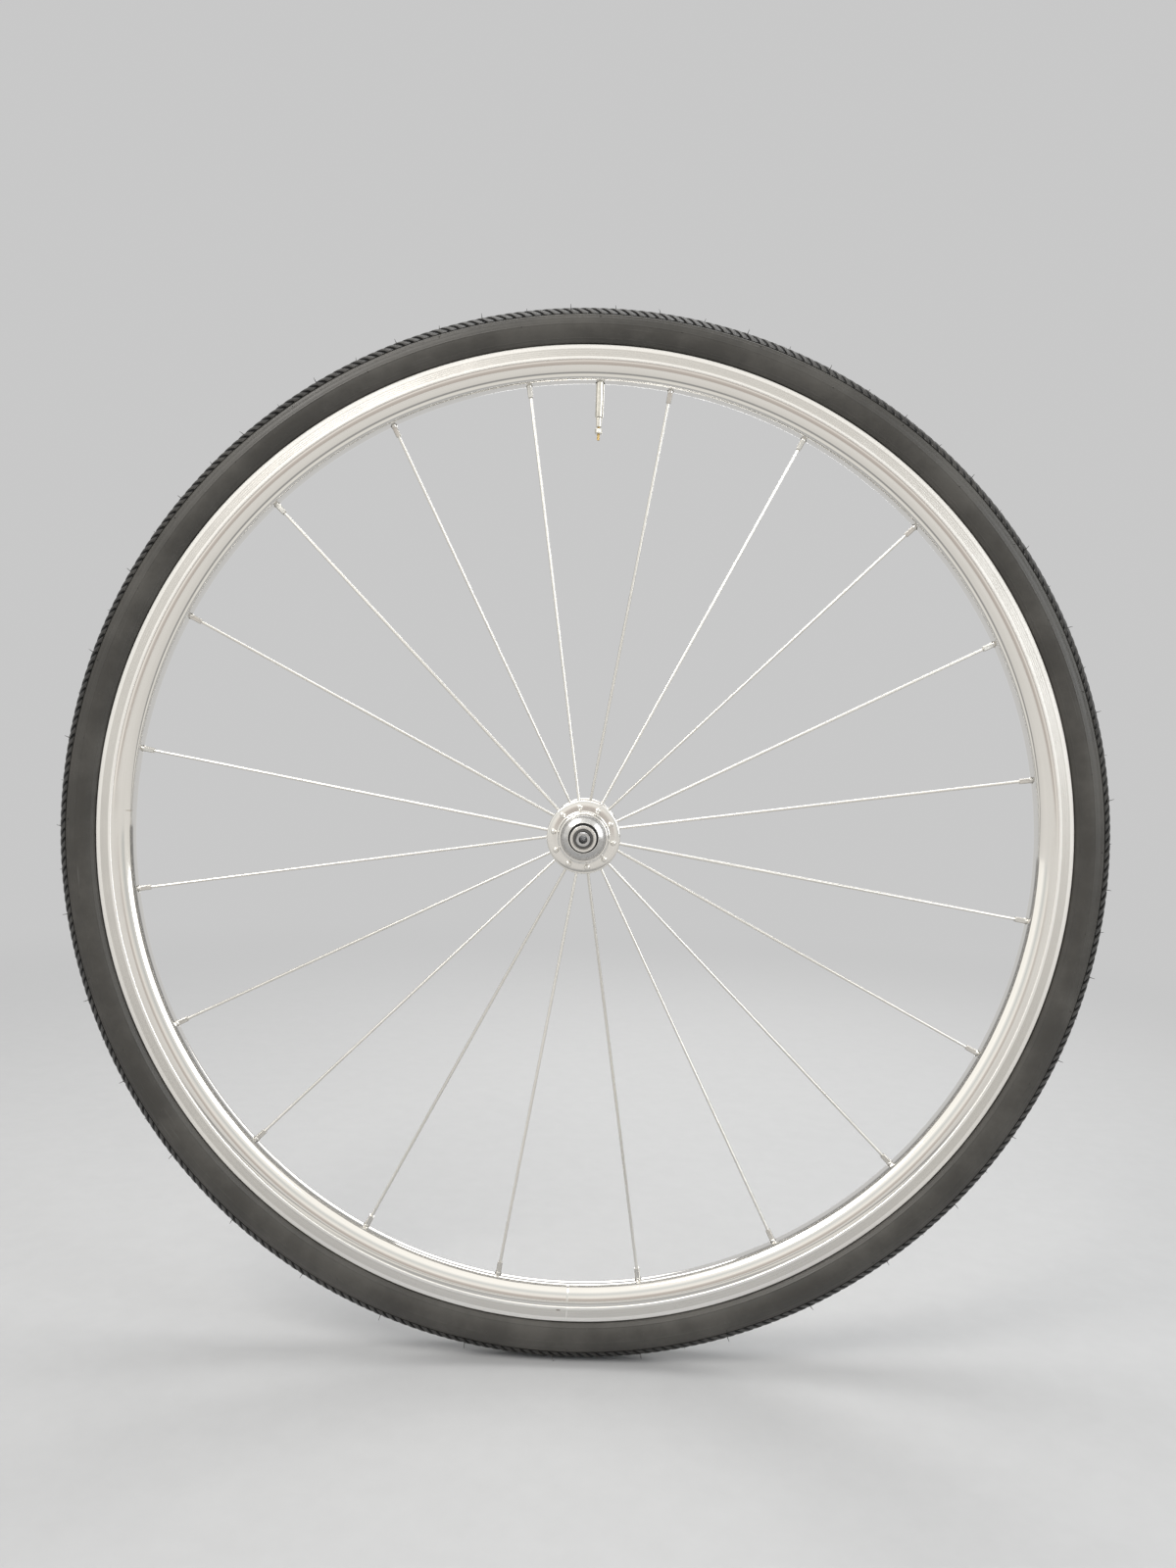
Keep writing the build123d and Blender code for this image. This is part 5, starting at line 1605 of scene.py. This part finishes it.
def make_floor():
    """Wide pale disc under the tyre, which fades into the background away from the wheel. In mirrors it
    glows as a painted reflection, in bands of tone by the distance in front of the wheel."""
    finish = bpy.data.materials.new("floor_pale")
    finish.use_nodes = True
    graph = Graph(finish.node_tree)
    place = graph.place()
    far = graph.add("VectorMath", {0: place}, operation="LENGTH").outputs["Value"]
    grain = graph.spread(graph.noise(place, *FLOOR_NOISE), FLOOR_LIMITS)
    tone = graph.mix(grain, tuple(FLOOR_DULL * np.array(PALE)), PALE)
    paint = graph.add("BsdfPrincipled", {"Base Color": tone, "Roughness": FLOOR_ROUGHNESS})
    graph.feed(paint, {"Specular IOR Level": FLOOR_SPECULAR})
    # Painted reflection: glossy rays see the floor glow in bands of tone
    front = ramp(graph, graph.parts(place)[1], FLOOR_PAINTED_REFLECTION_BANDS)
    rays = graph.add("LightPath").outputs
    tint = graph.mix(rays["Is Camera Ray"], graph.scaled(front, MIRROR_TONE), PALE)
    background_and_reflection_glow = graph.add("Emission", {"Color": tint})
    mirrored = graph.times(graph.spread(far, FLOOR_MIRRORED, smooth=True), rays["Is Glossy Ray"])
    direct = graph.times(graph.spread(far, FLOOR_FADE, smooth=True), seen(graph))
    fade = graph.math("MAXIMUM", mirrored, direct)
    both = graph.add("MixShader", {0: fade, 1: paint.outputs[0], 2: background_and_reflection_glow.outputs[0]})
    graph.add("OutputMaterial", {"Surface": both.outputs[0]})
    rings = FLOOR_RINGS[:, None]
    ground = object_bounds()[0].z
    points = swung(rings, ground, evenly(FLOOR_COLUMNS) + 0 * rings, upright=True)
    corners = cells(len(FLOOR_RINGS), FLOOR_COLUMNS, wrap_rows=False)[:, ::-1]
    mesh = bpy.data.meshes.new("floor")
    mesh.from_pydata(points, [], corners.tolist())
    mesh.materials.append(finish)
    floor = bpy.data.objects.new("floor", mesh)
    bpy.context.scene.collection.objects.link(floor)


def make_world():
    """Soft ambient light, and the pale background for rays that see it. In mirrors its sides are dim and
    its front is a soft room, brightest high on the left: bands by the direction's depth times a slanted
    rise."""
    world = bpy.data.worlds.new("studio")
    bpy.context.scene.world = world
    world.use_nodes = True
    graph = Graph(world.node_tree)
    ambient = graph.add("Background", {"Color": (*AMBIENT_TONE, 1), "Strength": AMBIENT_STRENGTH})
    way = graph.parts(graph.add("TexCoord").outputs["Generated"])
    upward = graph.times(way[2], ROOM_UPWARD)
    rise = graph.math("SUBTRACT", upward, graph.times(way[0], ROOM_SIDEWAYS))
    slant = graph.spread(rise, ROOM_RISE, ROOM_TONES, smooth=True)
    behind = graph.spread(way[1], ROOM_BEHIND, smooth=True)
    shaded = graph.math("ADD", slant, graph.times(behind, graph.math("SUBTRACT", 1.0, slant)))
    room = graph.scaled(ramp(graph, way[1], ROOM_BANDS), graph.times(shaded, MIRROR_TONE))
    straight = graph.add("LightPath").outputs["Is Camera Ray"]
    pale = graph.add("Background", {"Color": graph.mix(straight, room, PALE)})
    both = graph.add("MixShader", {0: seen(graph), 1: ambient.outputs[0], 2: pale.outputs[0]})
    graph.add("OutputWorld", {"Surface": both.outputs[0]})


def make_lamps():
    """Soft rectangular lamps, each turned to the wheel's centre."""
    for name, (at, size, power, colour) in LAMPS.items():
        lamp = bpy.data.lights.new(name, "AREA")
        lamp.shape = "RECTANGLE"
        lamp.size, lamp.size_y = size
        lamp.energy = power
        lamp.color = colour
        thing = bpy.data.objects.new(name, lamp)
        thing.location = at
        thing.rotation_euler = (WHEEL_CENTRE - Vector(at)).to_track_quat("-Z", "Y").to_euler()
        bpy.context.scene.collection.objects.link(thing)


def make_camera():
    """Camera where the photograph was taken from, rolled as it was held."""
    camera = bpy.data.cameras.new("camera")
    camera.sensor_width = SENSOR
    camera.lens = FOCAL_PIXELS / PHOTO_HEIGHT * SENSOR
    camera.clip_start = CLIP_START
    thing = bpy.data.objects.new("camera", camera)
    ahead = CAMERA_LINE.normalized()
    roll = Vector((-np.sin(CAMERA_ROLL), 0, np.cos(CAMERA_ROLL)))
    right = ahead.cross(roll).normalized()
    turn = Matrix((right, right.cross(ahead), -ahead)).transposed()
    thing.matrix_world = Matrix.Translation(CAMERA_AT) @ turn.to_4x4()
    bpy.context.scene.collection.objects.link(thing)
    bpy.context.scene.camera = thing


make_rim()
make_casing()
make_tread()
make_vents()
make_spokes()
make_nipples()
make_hub()
make_hub_ends()
make_axle()
make_valve()
dress_inner_pieces()
make_floor()
make_world()
make_lamps()
make_camera()

view = bpy.context.scene.view_settings
view.view_transform = "Standard"
